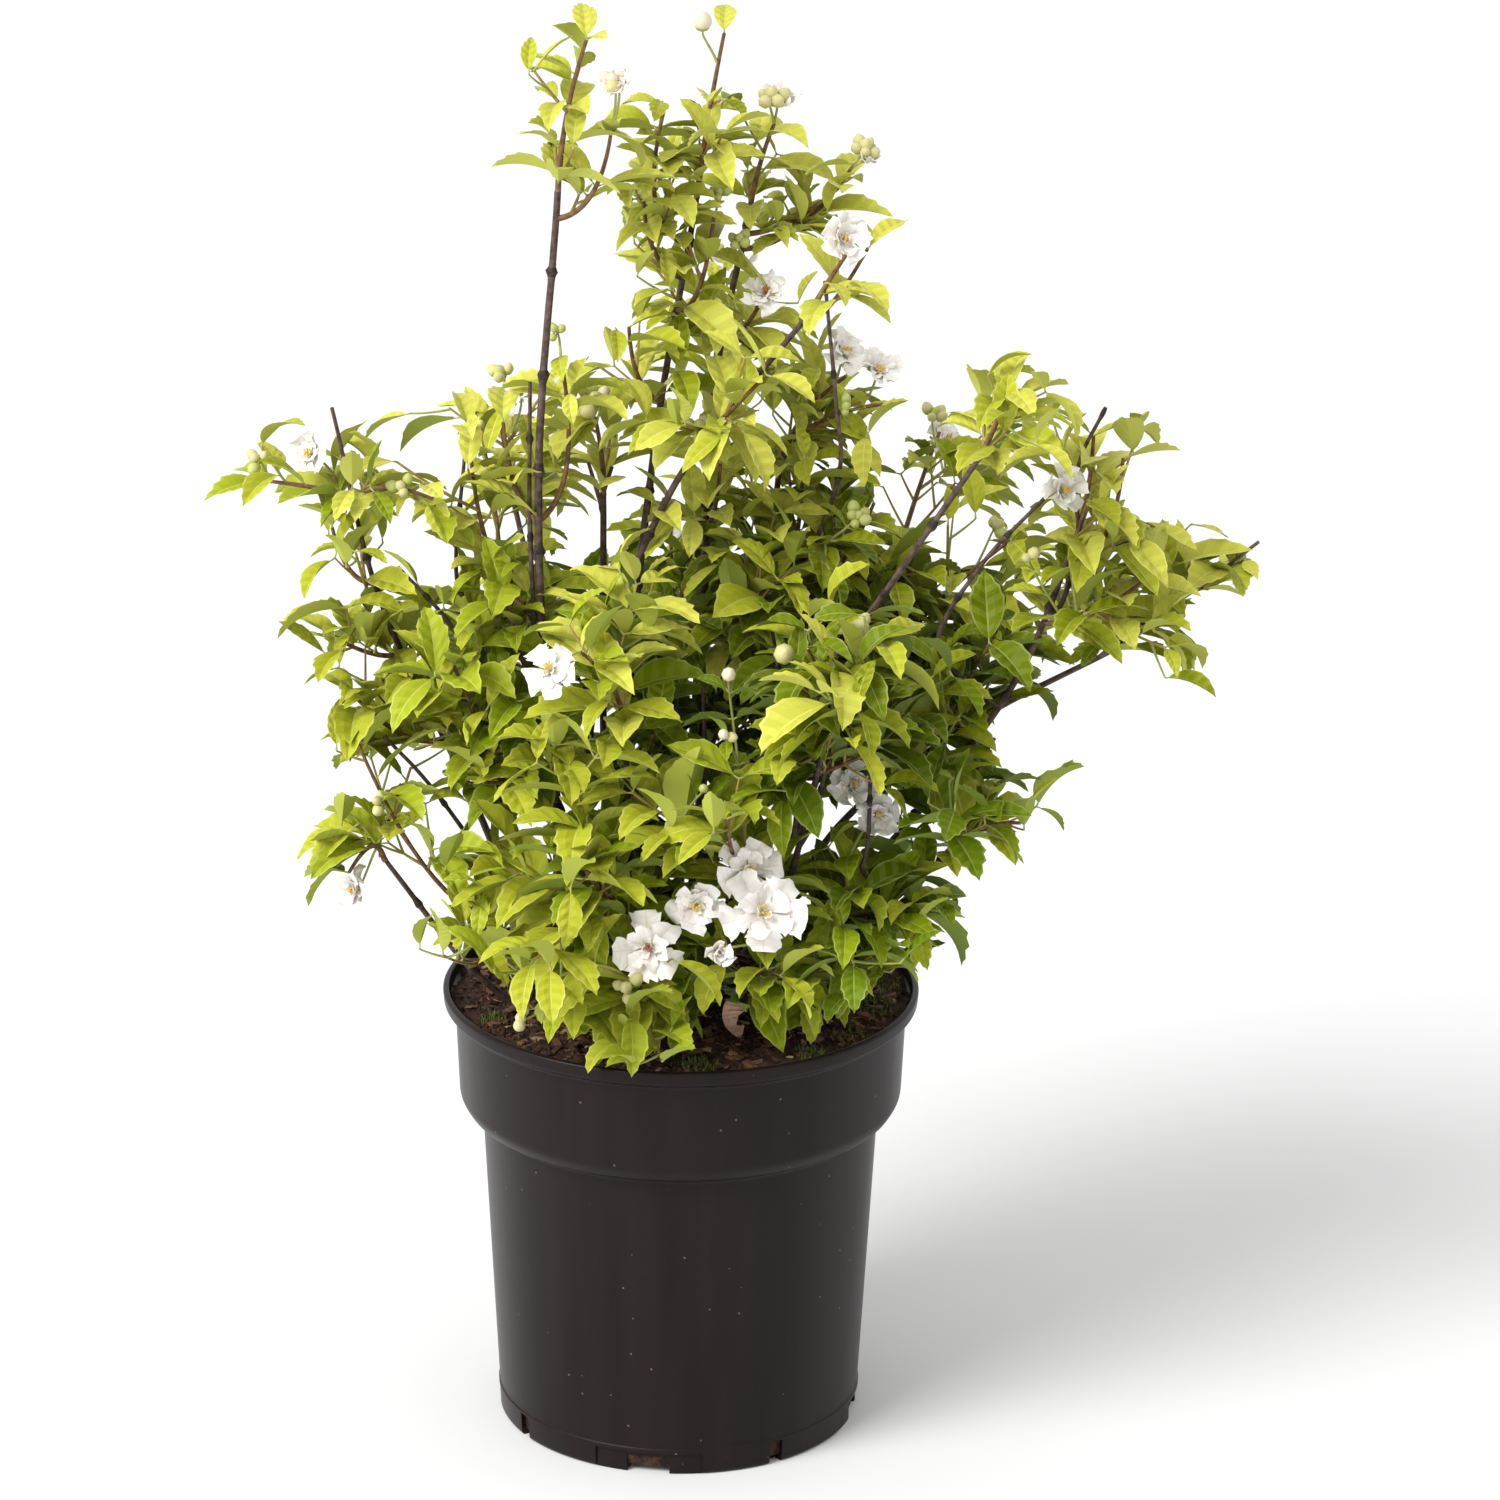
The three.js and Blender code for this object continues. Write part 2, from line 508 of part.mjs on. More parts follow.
function boxesApart(one, other) {
  return [0, 1, 2].some((k) => one.min[k] > other.max[k] + GAP || other.min[k] > one.max[k] + GAP);
}

function isClear(owner, solid, node = null) {
  const box = solid.boundingBox();
  return standing.every((other) => boxesApart(box, other.box)
    || (other.owner === owner && (other.node === null || other.node === node))
    || solid.minGap(other.solid, 2 * GAP) >= GAP);
}

// A shoot keeps within a space round its own twig.
function isInSpace(mass, solid) {
  const { min, max } = solid.boundingBox();
  const middle = vector(min).add(vector(max)).multiplyScalar(0.5);
  return mass.points.some((point) => point.distanceTo(middle) < mass.shoot.wide + ROOM);
}

// The place of a pair of leaves on a twig's straight piece from one point to the next.
function leafPair(from, to, pair, size) {
  const direction = to.clone().sub(from).normalize();
  return { point: to.clone().addScaledVector(direction, -NODE_SETBACK), pair, size, direction };
}

// A shoot's own twig, moved along its first direction until it stands just clear of its stem.
function seatedTwig(shoot, stem) {
  const { root, out } = rootOf(shoot, stem);
  for (;;) {
    const twig = twigOf(shoot, root, out);
    const last = twig.points.length - 1;
    const radii = twig.points.map((point, k) => THREE.MathUtils.lerp(TWIG_RADIUS, TWIG_TIP_RADIUS, k / last));
    const solid = limb(twig.points, radii, TWIG_SIDES, out);
    const lack = GAP - solid.minGap(stem.solid, STEM_STEP);
    if (lack < GAP / 100) return { ...twig, solid };
    root.addScaledVector(out, lack);
  }
}

function startShoot(shoot, stems, seed) {
  const stem = stems.find(({ name }) => name === shoot.stem);
  const owner = `shoot_${shoot.stem}_${shoot.name}`;
  const { points, pairs, solid } = seatedTwig(shoot, stem);
  stand(owner, solid);
  const nodes = points.slice(2).map((point, pair) => leafPair(points[pair + 1], point, pair, 1));
  nodes[pairs].size = END_LEAF;
  const tips = [nodes[pairs]];
  return { shoot, owner, points, nodes, tips, body: solid, draw: seededNumbers(seed) };
}

// Fuses a piece onto its mass, unless that would leave slivers, and says whether it did.
function fuseOn(mass, piece, node = null) {
  const body = fused(mass.body, piece);
  if (body === null) return false;
  mass.body = body;
  stand(mass.owner, piece, node);
  return true;
}

function growSideTwigs(mass) {
  for (const node of mass.nodes.slice(0, -1)) {
    for (const hand of [-1, 1]) {
      const wander = mass.draw();
      const length = mass.shoot.wide * between(TWIG_LENGTHS, mass.draw());
      if (mass.draw() > (mass.shoot.bushy ?? BUSHY)) continue;
      const side = pairSide(node.direction, node.pair, hand, wander);
      const way = openedFrom(node.direction, side, TWIG_OPENING).normalize();
      const pairs = Math.max(1, Math.round(length / INTERNODE));
      const points = [];
      for (let k = 0; k <= pairs; k += 1) {
        const place = node.point.clone().addScaledVector(way, length * k / pairs);
        points.push(place.addScaledVector(UP, TWIG_RISE * length * (k / pairs) ** 2));
      }
      const twig = limb(points, points.map(() => SIDE_TWIG_RADIUS), TWIG_SIDES, way);
      if (!isClear(mass.owner, twig) || !fuseOn(mass, twig)) continue;
      for (let k = 1; k <= pairs; k += 1) {
        mass.nodes.push(leafPair(points[k - 1], points[k], k, k === pairs ? END_LEAF : SIDE_LEAF));
      }
      mass.tips.push(mass.nodes.at(-1));
    }
  }
}

function growEnds(mass) {
  const blooms = mass.shoot.blooms ?? 0;
  const buds = mass.shoot.buds ?? 0;
  mass.tips.slice(0, blooms + buds).forEach((tip, k) => {
    const end = k < blooms ? bloomAt(tip) : budsAt(tip);
    if (isClear(mass.owner, end, tip)) fuseOn(mass, end, tip);
  });
}

function growLeaves(mass) {
  for (const node of mass.nodes) {
    for (const hand of [-1, 1]) {
      for (let attempt = 0; attempt < ATTEMPTS; attempt += 1) {
        const leaf = leafAt(node, hand, mass.draw, attempt);
        if (isInSpace(mass, leaf) && isClear(mass.owner, leaf, node) && fuseOn(mass, leaf, node)) break;
      }
    }
  }
}

// ---------------------------------------------------------------- the whole plant
const plant = new THREE.Group();
const potSolid = stand('pot', pot());
const compostSolid = stand('compost', compost());
plant.add(meshOf('pot', potSolid, 'pot'));
plant.add(meshOf('compost', compostSolid, 'compost'));

const stems = STEMS.map(growStem);
for (const stem of stems) {
  const owner = `stem_${stem.name}`;
  plant.add(meshOf(owner, stand(owner, stem.solid), 'bark'));
}

const masses = SHOOTS.map((shoot, k) => startShoot(shoot, stems, FIRST_SEED + SEED_STEP * k));
masses.forEach(growSideTwigs);
masses.forEach(growEnds);
masses.forEach(growLeaves);
for (const mass of masses) {
  plant.add(meshOf(mass.owner, mass.body, 'leaf'));
}

export default plant;
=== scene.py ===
# A mock orange shrub in leaf and flower, planted in its round nursery pot.
# Metres, +Z up. The origin is the middle of the pot's flat underside and -Y is the front.

import json
import math

import bpy
import numpy as np
from mathutils import Matrix, Vector, kdtree, noise

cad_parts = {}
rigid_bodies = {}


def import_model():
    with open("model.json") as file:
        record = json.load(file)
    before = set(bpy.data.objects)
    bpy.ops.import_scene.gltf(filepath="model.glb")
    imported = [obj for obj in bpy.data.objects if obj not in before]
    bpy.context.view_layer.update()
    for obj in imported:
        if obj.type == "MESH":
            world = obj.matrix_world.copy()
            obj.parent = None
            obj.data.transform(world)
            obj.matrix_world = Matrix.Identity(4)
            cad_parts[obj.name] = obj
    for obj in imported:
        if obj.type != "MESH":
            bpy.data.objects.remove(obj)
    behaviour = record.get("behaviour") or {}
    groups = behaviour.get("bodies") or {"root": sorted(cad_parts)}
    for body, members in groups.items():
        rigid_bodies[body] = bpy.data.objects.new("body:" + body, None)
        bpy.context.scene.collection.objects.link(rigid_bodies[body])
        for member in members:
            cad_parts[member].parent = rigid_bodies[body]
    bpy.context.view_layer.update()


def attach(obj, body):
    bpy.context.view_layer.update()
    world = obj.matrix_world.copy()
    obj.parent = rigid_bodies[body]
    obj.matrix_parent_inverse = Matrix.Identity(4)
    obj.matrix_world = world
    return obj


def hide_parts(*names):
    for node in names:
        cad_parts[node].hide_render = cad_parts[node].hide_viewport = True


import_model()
MM = 0.001

# ---------------------------------------------------------------- the pot
# A thin-walled nursery pot, moulded in one piece from black polypropylene. A wider stacking band
# runs round its top, a thin lip closes the rim, and water drains through notches round the foot.
POT_SIDES = 144
POT_HEIGHT = 220 * MM
POT_FOOT_RADIUS = 88 * MM
POT_FOOT_ROUND = 2.5 * MM
POT_SHOULDER_RADIUS = 96.5 * MM
POT_SHOULDER_HEIGHT = 163 * MM
POT_BAND_RADIUS = 107 * MM
POT_BAND_TOP_RADIUS = 109 * MM
POT_RIM_RADIUS = 115 * MM
POT_LIP_WIDTH = 3 * MM            # the lip along the rim, across its top
POT_LIP_HEIGHT = 7 * MM
POT_FLARE_HEIGHT = 3 * MM         # under the lip the wall widens over this height
POT_FLARE_TOP = 214.5 * MM
POT_WALL = 2 * MM
POT_FLOOR = 3 * MM
FOOT_LINE_HEIGHT = 13 * MM        # a fine moulded step runs round the foot
FOOT_LINE_DEPTH = 0.5 * MM


def smooth_mesh(name, points, faces, finishes, marks=None, crease=50):
    """A smooth shaded object from corners and triangles, with each face's finish numbered in marks."""
    mesh = bpy.data.meshes.new(name)
    mesh.vertices.add(len(points))
    mesh.vertices.foreach_set("co", np.asarray(points, np.float32).ravel())
    mesh.loops.add(3 * len(faces))
    mesh.loops.foreach_set("vertex_index", np.asarray(faces, np.int32).ravel())
    mesh.polygons.add(len(faces))
    mesh.polygons.foreach_set("loop_start", np.arange(0, 3 * len(faces), 3, dtype=np.int32))
    for finish in finishes:
        mesh.materials.append(finish)
    if marks is not None:
        mesh.polygons.foreach_set("material_index", np.asarray(marks, np.int32))
    mesh.update(calc_edges=True)
    mesh.set_sharp_from_angle(angle=math.radians(crease))
    piece = bpy.data.objects.new(name, mesh)
    bpy.context.scene.collection.objects.link(piece)
    return piece


def rounded_profile(corners):
    """The points of an outline of (radius, height, rounding) corners, with each corner rounded off."""
    outline = []
    for k, (radius, height, rounding) in enumerate(corners):
        here = Vector((radius, height))
        if rounding == 0:
            outline.append(here)
            continue
        before = Vector(corners[k - 1][:2]) - here
        after = Vector(corners[k + 1][:2]) - here
        start = here + before.normalized() * rounding
        end = here + after.normalized() * rounding
        for share in np.linspace(0, 1, 5):
            outline.append(start.lerp(here, share).lerp(here.lerp(end, share), share))
    return outline


def turned(outline, sides):
    """Corners and triangles of an outline turned about Z, closed by a point at either end."""
    turns = np.linspace(0, 2 * math.pi, sides, endpoint=False)
    rings = [np.stack([r * np.cos(turns), r * np.sin(turns), np.full(sides, z)], 1) for r, z in outline[1:-1]]
    points = np.vstack(rings + [[(0, 0, outline[0][1])], [(0, 0, outline[-1][1])]])
    return points, ring_faces(len(rings), sides)


def ring_faces(rings, sides):
    """Triangles between rings of corners and from the first and last ring to the two end points."""
    here = np.arange(sides)
    following = (here + 1) % sides
    faces = []
    for k in range(rings - 1):
        low, high = k * sides, (k + 1) * sides
        faces.append(np.stack([low + here, low + following, high + following], 1))
        faces.append(np.stack([low + here, high + following, high + here], 1))
    last = (rings - 1) * sides
    faces.append(np.stack([following, here, np.full(sides, rings * sides)], 1))
    faces.append(np.stack([last + here, last + following, np.full(sides, rings * sides + 1)], 1))
    return np.vstack(faces)


def sector(inner, outer, low, high, middle, width):
    """Corners and triangles of a block of wall of that width round the turn "middle" about Z."""
    half = math.asin(width / 2 / POT_FOOT_RADIUS)
    turns = np.linspace(middle - half, middle + half, 9)
    corners = [(r * math.cos(t), r * math.sin(t), z)
               for t in turns for r, z in ((inner, low), (outer, low), (outer, high), (inner, high))]
    faces = []
    for k in range(0, len(corners) - 4, 4):
        for side in range(4):
            a, b = k + side, k + (side + 1) % 4
            faces += [(a, a + 4, b), (b, a + 4, b + 4)]
    last = len(corners) - 4
    faces += [(0, 1, 2), (0, 2, 3), (last, last + 2, last + 1), (last, last + 3, last + 2)]
    return np.array(corners), np.array(faces)


def pot_plastic():
    """Black plastic with a soft sheen, faint flow streaks and a few pale specks of dust."""
    finish = bpy.data.materials.new("pot_plastic")
    finish.use_nodes = True
    nodes, links = finish.node_tree.nodes, finish.node_tree.links
    shader = nodes["Principled BSDF"]
    shader.inputs["Specular IOR Level"].default_value = 0.15
    place = nodes.new("ShaderNodeTexCoord")
    streak_scale = nodes.new("ShaderNodeMapping")
    streak_scale.inputs["Scale"].default_value = (60, 60, 5)
    streaks = nodes.new("ShaderNodeTexNoise")
    streaks.inputs["Scale"].default_value = 1
    streaks.inputs["Detail"].default_value = 4
    black = nodes.new("ShaderNodeValToRGB")
    black.color_ramp.elements[0].position = 0.3
    black.color_ramp.elements[0].color = (0.0088, 0.005, 0.0052, 1)
    black.color_ramp.elements[1].position = 0.75
    black.color_ramp.elements[1].color = (0.0135, 0.0083, 0.0085, 1)
    dust = nodes.new("ShaderNodeTexVoronoi")
    dust.inputs["Scale"].default_value = 95
    dust_size = nodes.new("ShaderNodeValToRGB")
    dust_size.color_ramp.elements[0].position = 0.035
    dust_size.color_ramp.elements[0].color = (1, 1, 1, 1)
    dust_size.color_ramp.elements[1].position = 0.06
    dust_size.color_ramp.elements[1].color = (0, 0, 0, 1)
    dusty = nodes.new("ShaderNodeMixRGB")
    dusty.inputs["Color2"].default_value = (0.12, 0.1, 0.09, 1)
    sheen = nodes.new("ShaderNodeMapRange")
    sheen.inputs["To Min"].default_value = 0.29
    sheen.inputs["To Max"].default_value = 0.42
    grain = nodes.new("ShaderNodeTexNoise")
    grain.inputs["Scale"].default_value = 900
    bump = nodes.new("ShaderNodeBump")
    bump.inputs["Strength"].default_value = 0.12
    bump.inputs["Distance"].default_value = 0.2 * MM
    links.new(place.outputs["Object"], streak_scale.inputs["Vector"])
    links.new(streak_scale.outputs["Vector"], streaks.inputs["Vector"])
    links.new(place.outputs["Object"], dust.inputs["Vector"])
    links.new(place.outputs["Object"], grain.inputs["Vector"])
    links.new(streaks.outputs["Fac"], black.inputs["Fac"])
    links.new(dust.outputs["Distance"], dust_size.inputs["Fac"])
    links.new(dust_size.outputs["Color"], dusty.inputs["Fac"])
    links.new(black.outputs["Color"], dusty.inputs["Color1"])
    links.new(dusty.outputs["Color"], shader.inputs["Base Color"])
    links.new(streaks.outputs["Fac"], sheen.inputs["Value"])
    links.new(sheen.outputs["Result"], shader.inputs["Roughness"])
    links.new(grain.outputs["Fac"], bump.inputs["Height"])
    links.new(bump.outputs["Normal"], shader.inputs["Normal"])
    return finish


wall_lean = (POT_SHOULDER_RADIUS - POT_FOOT_RADIUS) / POT_SHOULDER_HEIGHT
line_radius = POT_FOOT_RADIUS + wall_lean * FOOT_LINE_HEIGHT
pot_outline = rounded_profile([
    (0, 0, 0),
    (POT_FOOT_RADIUS, 0, POT_FOOT_ROUND),
    (line_radius, FOOT_LINE_HEIGHT, 0),
    (line_radius - FOOT_LINE_DEPTH, FOOT_LINE_HEIGHT + FOOT_LINE_DEPTH, 0),
    (POT_SHOULDER_RADIUS - FOOT_LINE_DEPTH, POT_SHOULDER_HEIGHT - 6 * MM, 2.5 * MM),
    (POT_BAND_RADIUS - 3.5 * MM, POT_SHOULDER_HEIGHT - 3 * MM, 2 * MM),
    (POT_BAND_RADIUS, POT_SHOULDER_HEIGHT + 3 * MM, 2.5 * MM),
    (POT_BAND_TOP_RADIUS, POT_HEIGHT - POT_LIP_HEIGHT - POT_FLARE_HEIGHT, 2 * MM),
    (POT_RIM_RADIUS - 0.6 * MM, POT_HEIGHT - POT_LIP_HEIGHT, 1 * MM),
    (POT_RIM_RADIUS, POT_HEIGHT - 0.7 * MM, 1.2 * MM),
    (POT_RIM_RADIUS - POT_LIP_WIDTH, POT_HEIGHT, 1.2 * MM),
    (POT_RIM_RADIUS - POT_LIP_WIDTH - 0.5 * MM, POT_FLARE_TOP, 1.2 * MM),
    (POT_BAND_TOP_RADIUS - POT_WALL - 0.4 * MM, POT_FLARE_TOP - POT_FLARE_HEIGHT, 1.5 * MM),
    (POT_BAND_RADIUS - POT_WALL, POT_SHOULDER_HEIGHT + 2 * MM, 2 * MM),
    (POT_SHOULDER_RADIUS - POT_WALL, POT_SHOULDER_HEIGHT - 2 * MM, 2 * MM),
    (POT_FOOT_RADIUS - POT_WALL, POT_FLOOR, 1.5 * MM),
    (0, POT_FLOOR, 0),
])
pot = smooth_mesh("nursery_pot", *turned(pot_outline, POT_SIDES), [pot_plastic()], crease=35)

DRAIN_COUNT = 4
DRAIN_FIRST_TURN = math.radians(-99)
NOTCH_WIDTH = 21 * MM
NOTCH_HEIGHT = 9 * MM
NOTCH_DEPTH = 28 * MM
RECESS_WIDTH = 52 * MM
RECESS_HEIGHT = 11 * MM
RECESS_DEPTH = 0.8 * MM
SLIT_TURN = math.radians(42)
SLIT_WIDTH = 7 * MM
SLIT_HEIGHT = 12 * MM
SLIT_DEPTH = 6 * MM
CUTTER_REACH = 4 * MM

blocks = []
for k in range(DRAIN_COUNT):
    turn = DRAIN_FIRST_TURN + k * 2 * math.pi / DRAIN_COUNT
    outside = POT_FOOT_RADIUS + CUTTER_REACH
    blocks.append(sector(POT_FOOT_RADIUS - NOTCH_DEPTH, outside, -CUTTER_REACH, NOTCH_HEIGHT, turn, NOTCH_WIDTH))
    blocks.append(sector(POT_FOOT_RADIUS - RECESS_DEPTH, outside, -CUTTER_REACH, RECESS_HEIGHT, turn, RECESS_WIDTH))
    blocks.append(sector(POT_FOOT_RADIUS - SLIT_DEPTH, outside, -CUTTER_REACH, SLIT_HEIGHT, turn + SLIT_TURN, SLIT_WIDTH))
for number, (points, faces) in enumerate(blocks):
    cutter = smooth_mesh(f"drain_cutter_{number}", points, faces, [])
    cut = pot.modifiers.new("drain", "BOOLEAN")
    cut.operation = "DIFFERENCE"
    cut.object = cutter
bpy.context.view_layer.update()
cut_pot = bpy.data.meshes.new_from_object(pot.evaluated_get(bpy.context.evaluated_depsgraph_get()))
pot.modifiers.clear()
pot.data = cut_pot
pot.data.set_sharp_from_angle(angle=math.radians(35))
for number in range(len(blocks)):
    bpy.data.objects.remove(bpy.data.objects[f"drain_cutter_{number}"])
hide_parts("pot")
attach(pot, "root")

# ---------------------------------------------------------------- the compost
# Moist dark brown compost, a mix of peat and composted bark, fills the pot to just under its rim. It
# lies a little lower along the wall, and its top is an uneven crumb.
SOIL = 216 * MM
SOIL_RADIUS = 111 * MM
SOIL_EDGE_DROP = 1.5 * MM
SOIL_EDGE_WIDTH = 14 * MM
SOIL_RINGS = 56
SOIL_SIDES = 180
SOIL_HUMPS = 2.6 * MM
SOIL_CRUMB = 2 * MM
CRUMB_COUNT = 2800
CRUMB_SIZES = (0.6 * MM, 1.7 * MM)


def soil_level(x, y):
    """The height of the compost's top: low humps, a finer crumb and a drop along the wall."""
    humps = noise.noise(Vector((x, y, 0)) * 38)
    crumb = noise.noise(Vector((x, y, 0.5)) * 190) + 0.6 * noise.noise(Vector((x, y, 1)) * 420)
    edge = max(0, 1 - (SOIL_RADIUS - math.hypot(x, y)) / SOIL_EDGE_WIDTH)
    return SOIL + SOIL_HUMPS * humps + SOIL_CRUMB * crumb - SOIL_EDGE_DROP * edge * edge


def mottled(name, dark, light, scale, roughness=0.9, bump_height=0.4 * MM):
    """A natural finish that wanders between two tones, with a fine rough relief."""
    finish = bpy.data.materials.new(name)
    finish.use_nodes = True
    nodes, links = finish.node_tree.nodes, finish.node_tree.links
    shader = nodes["Principled BSDF"]
    shader.inputs["Roughness"].default_value = roughness
    shader.inputs["Specular IOR Level"].default_value = 0.3
    place = nodes.new("ShaderNodeTexCoord")
    patches = nodes.new("ShaderNodeTexNoise")
    patches.inputs["Scale"].default_value = scale
    patches.inputs["Detail"].default_value = 6
    tones = nodes.new("ShaderNodeValToRGB")
    tones.color_ramp.elements[0].position = 0.35
    tones.color_ramp.elements[0].color = (*dark, 1)
    tones.color_ramp.elements[1].position = 0.68
    tones.color_ramp.elements[1].color = (*light, 1)
    relief = nodes.new("ShaderNodeTexNoise")
    relief.inputs["Scale"].default_value = scale * 4
    relief.inputs["Detail"].default_value = 5
    bump = nodes.new("ShaderNodeBump")
    bump.inputs["Strength"].default_value = 0.5
    bump.inputs["Distance"].default_value = bump_height
    links.new(place.outputs["Object"], patches.inputs["Vector"])
    links.new(place.outputs["Object"], relief.inputs["Vector"])
    links.new(patches.outputs["Fac"], tones.inputs["Fac"])
    links.new(tones.outputs["Color"], shader.inputs["Base Color"])
    links.new(relief.outputs["Fac"], bump.inputs["Height"])
    links.new(bump.outputs["Normal"], shader.inputs["Normal"])
    return finish


class Bunch:
    """Many small like parts gathered into one mesh, each face with the number of its finish."""

    def __init__(self):
        self.points = []
        self.faces = []
        self.marks = []
        self.count = 0

    def add(self, points, faces, marks=0):
        self.points.append(points)
        self.faces.append(np.asarray(faces) + self.count)
        self.marks.append(np.broadcast_to(marks, len(faces)))
        self.count += len(points)

    def joined(self, name, finishes, crease=50):
        return smooth_mesh(name, np.vstack(self.points), np.vstack(self.faces), finishes,
                           np.concatenate(self.marks), crease)


soil_outline = [(0, SOIL)]
soil_outline += [(SOIL_RADIUS * (k + 1) / SOIL_RINGS, SOIL) for k in range(SOIL_RINGS)]
soil_outline += [
    (POT_RIM_RADIUS - POT_LIP_WIDTH - 0.9 * MM, POT_FLARE_TOP - 1 * MM),
    (POT_BAND_TOP_RADIUS - POT_WALL - 0.9 * MM, POT_FLARE_TOP - POT_FLARE_HEIGHT - 1 * MM),
    (POT_BAND_RADIUS - POT_WALL - 0.3 * MM, POT_SHOULDER_HEIGHT + 3 * MM),
    (POT_SHOULDER_RADIUS - POT_WALL - 0.3 * MM, POT_SHOULDER_HEIGHT - 2 * MM),
    (POT_FOOT_RADIUS - POT_WALL - 0.3 * MM, POT_FLOOR + 0.3 * MM),
    (0, POT_FLOOR + 0.3 * MM),
]
points, faces = turned(soil_outline, SOIL_SIDES)
top = points[:, 2] == SOIL
points[top, 2] = [soil_level(x, y) for x, y in points[top, :2]]
peat = mottled("compost_peat", (0.009, 0.0045, 0.003), (0.07, 0.03, 0.017), 260, 0.88, 0.6 * MM)
compost = smooth_mesh("compost", points, faces[:, ::-1], [peat])
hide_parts("compost")
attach(compost, "root")

grit = np.random.default_rng(61)
LUMP = np.array([(1, 0, 0), (-1, 0, 0), (0, 1, 0), (0, -1, 0), (0, 0, 1), (0, 0, -1)], float)
LUMP_FACES = np.array([(0, 2, 4), (2, 1, 4), (1, 3, 4), (3, 0, 4), (2, 0, 5), (1, 2, 5), (3, 1, 5), (0, 3, 5)])


def spot_on_soil(clear):
    """A seeded spot on the compost that lies "clear" of the pot's wall."""
    radius = (SOIL_RADIUS - clear) * math.sqrt(grit.random())
    turn = grit.uniform(0, 2 * math.pi)
    x, y = radius * math.cos(turn), radius * math.sin(turn)
    return Vector((x, y, soil_level(x, y)))


crumbs = Bunch()
for _ in range(CRUMB_COUNT):
    spot = spot_on_soil(3 * MM)
    size = grit.uniform(*CRUMB_SIZES)
    crumbs.add(LUMP * size * grit.uniform(0.6, 1.4, (6, 1)) + spot, LUMP_FACES, int(grit.integers(3)))
compost_crumbs = crumbs.joined("compost_crumbs", [
    peat,
    mottled("crumb_brown", (0.05, 0.022, 0.012), (0.11, 0.05, 0.028), 300),
    mottled("crumb_dark", (0.008, 0.005, 0.004), (0.025, 0.014, 0.01), 300),
])
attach(compost_crumbs, "root")

# Bark chips, splinters of wood and root fibres lie loose on the compost, from pale straw to red brown.
CHIP_COUNT = 1000
CHIP_LENGTHS = (2 * MM, 9 * MM)
CHIP_SHARES = (0.34, 0.28, 0.24, 0.05, 0.09)
FIBRE_COUNT = 260
CHIP = np.array([(x, y, z) for x in (-1, 1) for y in (-1, 1) for z in (-1, 1)], float)
CHIP_FACES = np.array([(0, 1, 3), (0, 3, 2), (4, 6, 7), (4, 7, 5), (0, 4, 5), (0, 5, 1),
                       (2, 3, 7), (2, 7, 6), (0, 2, 6), (0, 6, 4), (1, 5, 7), (1, 7, 3)])


def tube(route, radii, sides):
    """Corners and triangles of a round tube along a route of points, with a radius at each."""
    route = np.array(route, float)
    ways = np.gradient(route, axis=0)
    ways /= np.linalg.norm(ways, axis=1, keepdims=True)
    side = np.array((1.0, 0, 0)) if abs(ways[0][2]) > 0.9 else np.array((0, 0, 1.0))
    turns = np.linspace(0, 2 * math.pi, sides, endpoint=False)[:, None]
    rings = []
    for point, way, radius in zip(route, ways, radii):
        side = side - way * (side @ way)
        side /= np.linalg.norm(side)
        rings.append(point + np.reshape(radius, (-1, 1)) * (np.cos(turns) * side + np.sin(turns) * np.cross(way, side)))
    return np.vstack(rings + [route[:1], route[-1:]]), ring_faces(len(route), sides)


litter = Bunch()
for _ in range(CHIP_COUNT):
    length = grit.uniform(*CHIP_LENGTHS)
    spot = spot_on_soil(length)
    shape = CHIP * (length / 2, length * grit.uniform(0.12, 0.3), length * grit.uniform(0.05, 0.13))
    shape *= grit.uniform(0.6, 1.2, (8, 3))
    tilt = Matrix.Rotation(grit.uniform(0, 2 * math.pi), 3, "Z") @ Matrix.Rotation(grit.normal(0, 0.35), 3, "Y")
    litter.add(shape @ np.array(tilt).T + spot + Vector((0, 0, length * 0.06)), CHIP_FACES,
               int(grit.choice(5, p=CHIP_SHARES)))
for _ in range(FIBRE_COUNT):
    spot = spot_on_soil(16 * MM)
    way = Matrix.Rotation(grit.uniform(0, 2 * math.pi), 3, "Z") @ Vector((grit.uniform(3, 9) * MM, 0, 0))
    bend = Vector(grit.normal(0, 2 * MM, 3))
    route = [spot + way * (t - 0.5) + bend * (t - t * t) + Vector((0, 0, 1.2 * MM)) for t in np.linspace(0, 1, 6)]
    litter.add(*tube(route, [0.22 * MM] * 6, 4), int(grit.integers(2, 5)))
bark_chips = litter.joined("bark_chips", [
    mottled("chip_dark", (0.03, 0.013, 0.008), (0.09, 0.04, 0.024), 500),
    mottled("chip_red_brown", (0.09, 0.036, 0.018), (0.22, 0.095, 0.052), 500),
    mottled("chip_brown", (0.08, 0.042, 0.026), (0.2, 0.115, 0.07), 500),
    mottled("chip_straw", (0.3, 0.2, 0.12), (0.52, 0.38, 0.24), 500),
    mottled("chip_tan", (0.2, 0.11, 0.065), (0.36, 0.22, 0.13), 500),
], crease=20)
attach(bark_chips, "root")

# Moss has begun to grow in small cushions on the damp compost along the wall, mostly on the right.
MOSS_CUSHIONS = (
    (94, -24, 11), (82, -58, 10), (98, 8, 9), (62, -78, 8), (10, -94, 10), (-88, -40, 7), (74, 44, 8),
)
MOSS_LEAVES = 110
MOSS_HEIGHT = 3.4 * MM

